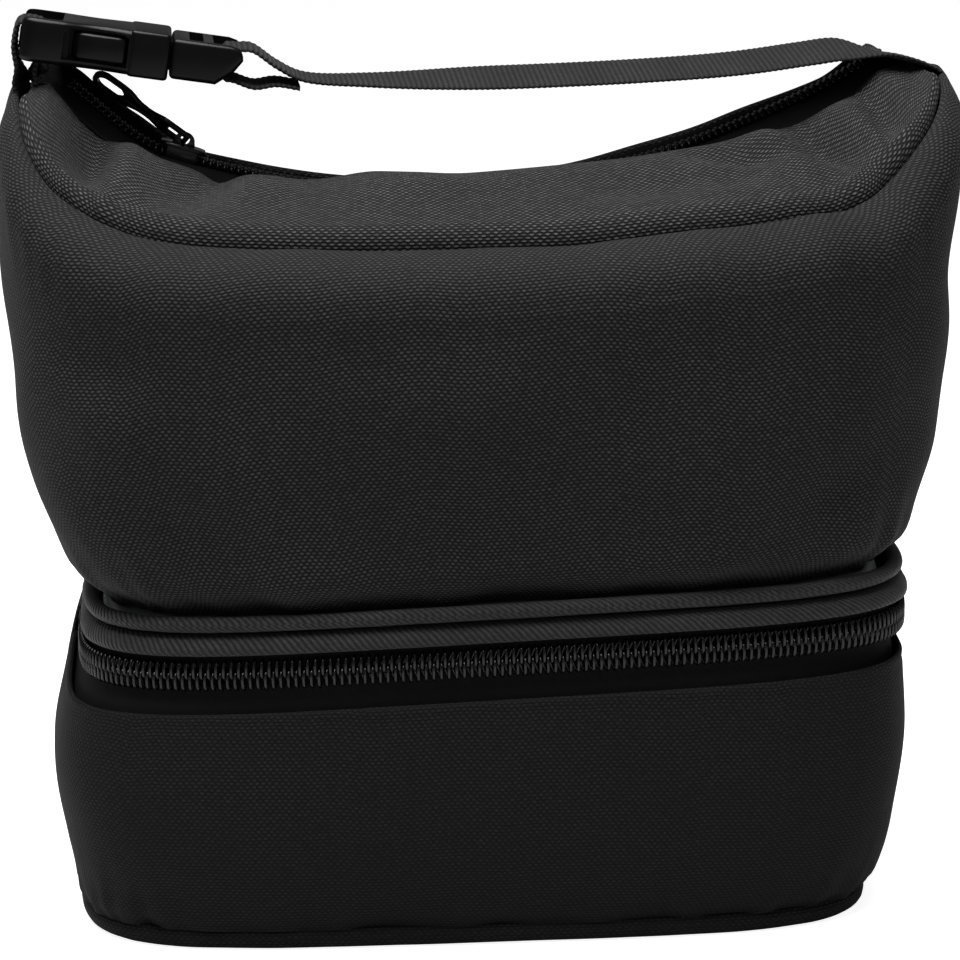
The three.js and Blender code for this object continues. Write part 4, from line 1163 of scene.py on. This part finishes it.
def receptacle():
    """Box of the buckle, waisted between its collar and its webbing bar, with a window in each side"""
    half = [(0, BUCKLE_HALF - 4), *arc(4, BUCKLE_HALF - 4, 4, range(165, 89, -15)), (10.6, BUCKLE_HALF)]
    for n in range(1, 12):
        half.append((10.6 + 17 * n / 12, BUCKLE_HALF - 2.0 * arch(n / 12) ** 1.3))
    half += [(27.8, BUCKLE_HALF), (38, BUCKLE_HALF)]
    body = moulding("buckle_box", mirrored(half), -5.6, 5.6, 1.5, 4)
    collar = moulding("collar", rounded(27.6, 38, 15.9, 1.4), -5.85, 5.85, 0.9, 3)
    carve(body, collar, operation="UNION")
    window = [(11, -3.9), (27.4, -3.9), (27.4, 3.4), (26.2, 4.1)]
    window += [(26.2 - 14 * n / 10, 4.1 + 0.55 * arch(n / 10)) for n in range(1, 10)]
    window += [(12.2, 4.1), (11, 3.0)]
    recess = [(-1, 2.5), (9.0, 2.5), (10.2, 3.6), (10.6, 8), (-1, 8)]
    web = slab("web", (9.5, -8.3, -4.2), (15.2, 8.3, 4.2))
    carve(
        body,
        side_shape("window_front", window, 12.8, 20),
        side_shape("window_back", window, -20, -12.8),
        side_shape("recess_top", recess, -13, 13),
        side_shape("recess_under", [(x, -z) for x, z in reversed(recess)], -13, 13),
        moulding("webbing_slot", rounded(4, 9, 13, 1), -8, 8),
        slab("mouth", (12.5, -13.3, -3.9), (39, 13.3, 3.9)),
    )
    return carve(body, web, operation="UNION")


def plug():
    """Head of the plug with its two webbing slots, its tongue and the guide between its arms"""
    head = [(38.3, -5.1), (50.2, -5.1), (54.4, -1.6), (BUCKLE_LENGTH, 1.6)]
    head += [(56.3, 3.6), (55.2, 4.6), (53, 5.1), (38.3, 5.1)]
    body = side_shape("buckle_plug_head", head, -BUCKLE_HALF, BUCKLE_HALF, 1.3, 4)
    notch = [(49.4, 2.4), (60, 2.4), (60, 8), (48.6, 8), (48.6, 3.4)]
    carve(
        body,
        side_shape("notch_top", notch, -13, 13),
        slab("notch_under", (48.6, -13, -8), (60, 13, -2.4)),
        moulding("outer_slot", rounded(49.5, 53.1, 13, 0.8), -8, 8),
        moulding("inner_slot", rounded(42.5, 46.1, 13, 0.8), -8, 8),
    )
    return carve(
        body,
        slab("tongue", (34.3, -8.1, -3.6), (40.3, 8.1, 3.6), 0.5),
        slab("guide", (15.5, -2.4, -1.4), (35.3, 2.4, 1.4), 0.4),
        operation="UNION",
    )


def latch(name, side):
    """Sprung arm from the plug, with the rounded button that fills the side window"""
    outline = [(38, 9.2), (38, 12.2), (28.6, 12.6), (27.1, 12.6), (27.1, 14.1), (26.4, 15.0), (24.6, 15.3),
               (18.6, 15.3), (15.6, 14.8), (13.8, 13.4), (13.4, 12.0), (13.7, 9.6), (15.4, 8.6), (24.1, 9.4)]
    return bevel(moulding(name, [(x, side * y) for x, y in outline], -3.4, 3.4), 0.9, 3, 60)


finish_hard(receptacle(), BUCKLE, "handle", BUCKLE_PLACE, "buckle_receptacle")
finish_hard(plug(), BUCKLE, "handle", BUCKLE_PLACE, "buckle_plug")
for side, word in ((1, "rear"), (-1, "front")):
    finish_hard(latch(f"latch_button_{word}", side), BUCKLE, f"latch_{word}", BUCKLE_PLACE,
                f"latch_arm_{word}")


# Webbing of the handle, along paths of (x, z)
def on_buckle(*spots):
    """Points given along and up from the buckle's webbing bar"""
    places = [BUCKLE_PLACE @ (Vector((along, 0, up)) * MM) for along, up in spots]
    return [(place.x / MM, place.z / MM) for place in places]


def over_ears(*spots):
    """Points given by their height over the ears"""
    return [(x, EAR_TOP + z) for x, z in spots]


def smooth_line(points):
    """Close points on a smooth line through the given ones"""
    knots = [Vector((x, 0, z)) for x, z in points]
    knots = [knots[0] * 2 - knots[1]] + knots + [knots[-1] * 2 - knots[-2]]
    line = []
    for a, b, c, d in zip(knots, knots[1:], knots[2:], knots[3:]):
        t0 = 0.0
        t1 = max((b - a).length, 1e-6) ** 0.5
        t2 = t1 + max((c - b).length, 1e-6) ** 0.5
        t3 = t2 + max((d - c).length, 1e-6) ** 0.5
        for n in range(16):
            t = lerp(t1, t2, n / 16)
            ab = lerp(a, b, (t - t0) / (t1 - t0))
            bc = lerp(b, c, (t - t1) / (t2 - t1))
            cd = lerp(c, d, (t - t2) / (t3 - t2))
            abc = lerp(ab, bc, (t - t0) / (t2 - t0))
            bcd = lerp(bc, cd, (t - t1) / (t3 - t1))
            line.append(lerp(abc, bcd, (t - t1) / (t2 - t1)))
    return line + [knots[-2]]


def webbing(name, points, body, node, twist=None, sides=28):
    """Ribbed webbing along a path in the middle plane of the bag"""
    line = smooth_line(points)
    run = distances(line)
    length = run[-1]
    columns = int(length / RIB * 5)
    path = []
    for n in range(columns + 1):
        step, part = step_at(run, length * n / columns)
        path.append(line[step].lerp(line[step + 1], clamp(part)))

    def centre(u):
        n = round(u * columns)
        way = (path[min(n + 1, columns)] - path[max(n - 1, 0)]).normalized()
        up, across = Vector((-way.z, 0, way.x)), Vector((0, 1, 0))
        tip = math.radians(twist(path[n])) if twist else 0.0
        c, s = math.cos(tip), math.sin(tip)
        return path[n], across * c + up * s, up * c - across * s

    def section(u, v):
        c, s = math.cos(TURN * v), math.sin(TURN * v)
        rib = 0.5 + 0.5 * math.cos(TURN * u * length / RIB)
        reach = math.copysign(abs(c) ** 0.32, c) * (WEBBING_WIDTH / 2 - 0.25 + 0.25 * rib)
        lift = math.copysign(abs(s) ** 0.55, s) * (WEBBING_THICK / 2 - 0.16 + 0.16 * rib)
        return reach, lift

    dress(tube(name, columns, sides, centre, section), WEB, body, node)


LEFT_STRAP = 3.5 - half_size(EAR_TOP, 1)
RIGHT_STRAP = 5.6 - LEFT_STRAP


def strap_twist(spot):
    """Lean of the strap's front edge, in degrees"""
    return 12.4 * between(spot.x, 96, 110) - 8.0 * between(spot.x, -45, 10)


def loop_twist(spot):
    """Lean of the loop's front edge, in degrees, which grows from the buckle to the ear"""
    return 7 * between(spot.z, EAR_TOP + 5, EAR_TOP)


strap_path = over_ears(
    (RIGHT_STRAP, -7.5), (RIGHT_STRAP + 0.5, -3), (120.6, -1.2), (117, 0.9), (111.6, 2.7), (103.3, 4.4),
    (96, 5.0), (87.5, 4.0), (70, 1.8), (43, 0.1), (2, -1.1), (-25.5, -1.2), (-43, 0), (-49.5, 3.2),
) + on_buckle((58.5, 4.3), (54.8, 3.9), (52.6, 3.7), (51.5, 2.4), (51.3, 0.4))
tail_path = on_buckle((51.3, -0.4), (51.5, -2.4), (52.6, -3.7), (54.8, -3.9))
tail_path += over_ears((-55.5, -1.8), (-50, -1.2), (-44, -2.2))
loop_path = over_ears((LEFT_STRAP + 3.4, 0.2), (LEFT_STRAP + 4.0, 3))
loop_path += on_buckle((6.1, -3), (6.1, 1.3), (5.3, 3.2), (2, 3.9), (-0.7, 3.3), (-1.1, 1.9), (-1.2, -3))
loop_path += over_ears((LEFT_STRAP + 0.5, 1), (LEFT_STRAP + 1.0, -7.5))
webbing("handle_webbing", strap_path, "handle", "handle_strap", strap_twist)
webbing("webbing_tail", tail_path, "handle", "strap_tail")
webbing("webbing_loop", loop_path, "handle", "strap_loop", loop_twist)
for foot, word in ((LEFT_STRAP + 1.7, "left"), (RIGHT_STRAP - 1.7, "right")):
    foot_path = over_ears((foot, -11.6), (foot, -3))
    webbing(f"webbing_foot_{word}", foot_path, UPPER, f"strap_anchor_{word}", sides=20)


# Studio
WHITE = (1, 1, 1, 1)


def floor_finish():
    """A matt floor that also glows white to the camera"""
    material = bpy.data.materials.new("studio_floor")
    material.use_nodes = True
    tree = material.node_tree
    tree.nodes.clear()
    out = tree.nodes.new("ShaderNodeOutputMaterial")
    matt = add_node(tree, "ShaderNodeBsdfDiffuse", {"Color": (0.7, 0.7, 0.7, 1)})
    seen = add_node(tree, "ShaderNodeLightPath", {}, "Is Camera Ray")
    light = {"Color": WHITE, "Strength": maths(tree, "MULTIPLY", seen, 0.9)}
    glow = add_node(tree, "ShaderNodeEmission", light)
    tree.links.new(add_node(tree, "ShaderNodeAddShader", {0: matt, 1: glow}), out.inputs["Surface"])
    return material


floor = primitive("studio_floor", bpy.ops.mesh.primitive_plane_add, size=9)
floor.data.materials.append(floor_finish())

# The world is white to the camera and dim to the bag
world = bpy.data.worlds.new("studio")
bpy.context.scene.world = world
world.use_nodes = True
sky = world.node_tree
backdrop = sky.nodes["Background"]
seen = sky.nodes.new("ShaderNodeLightPath")
plainly = maths(sky, "MAXIMUM", seen.outputs["Is Camera Ray"], seen.outputs["Is Transmission Ray"])
sky.links.new(graded(sky, plainly, 0.1, 1.0), backdrop.inputs["Strength"])
backdrop.inputs["Color"].default_value = WHITE


def lamp(name, place, aim, size, power):
    light = bpy.data.lights.new(name, "AREA")
    light.shape = "RECTANGLE"
    light.size, light.size_y = size
    light.energy = power
    piece = bpy.data.objects.new(name, light)
    bpy.context.collection.objects.link(piece)
    piece.location = place
    piece.rotation_euler = (Vector(aim) - Vector(place)).to_track_quat("-Z", "Y").to_euler()


lamp("overhead", (-0.18, -0.14, 1.25), (0, 0, 0.1), (1.2, 0.9), 25)
lamp("front_fill", (0.1, -1.9, 0.8), (0, 0, 0.1), (1.4, 1.0), 0.55)

# Camera, in metres, where the photograph was taken from
camera = bpy.data.cameras.new("photo_view")
camera.sensor_width = 36
camera.lens = 142.7
viewer = bpy.data.objects.new("photo_view", camera)
bpy.context.collection.objects.link(viewer)
bpy.context.scene.camera = viewer
azimuth, elevation, distance = math.radians(-4.6), math.radians(10.8), 1.0
aside, upwards, roll = 0.0021, -0.0086, math.radians(-0.4)
middle = Vector((0, 0, 0.115))
back = Vector(
    (math.sin(azimuth) * math.cos(elevation), -math.cos(azimuth) * math.cos(elevation), math.sin(elevation))
)
viewer.location = middle + distance * back
rightwards = Vector((0, 0, 1)).cross(back).normalized()
aim = middle + rightwards * aside + back.cross(rightwards) * upwards
look = (aim - viewer.location).to_track_quat("-Z", "Y")
viewer.rotation_euler = (look.to_matrix() @ Matrix.Rotation(roll, 3, "Z")).to_euler()
bpy.context.scene.view_settings.view_transform = "Standard"
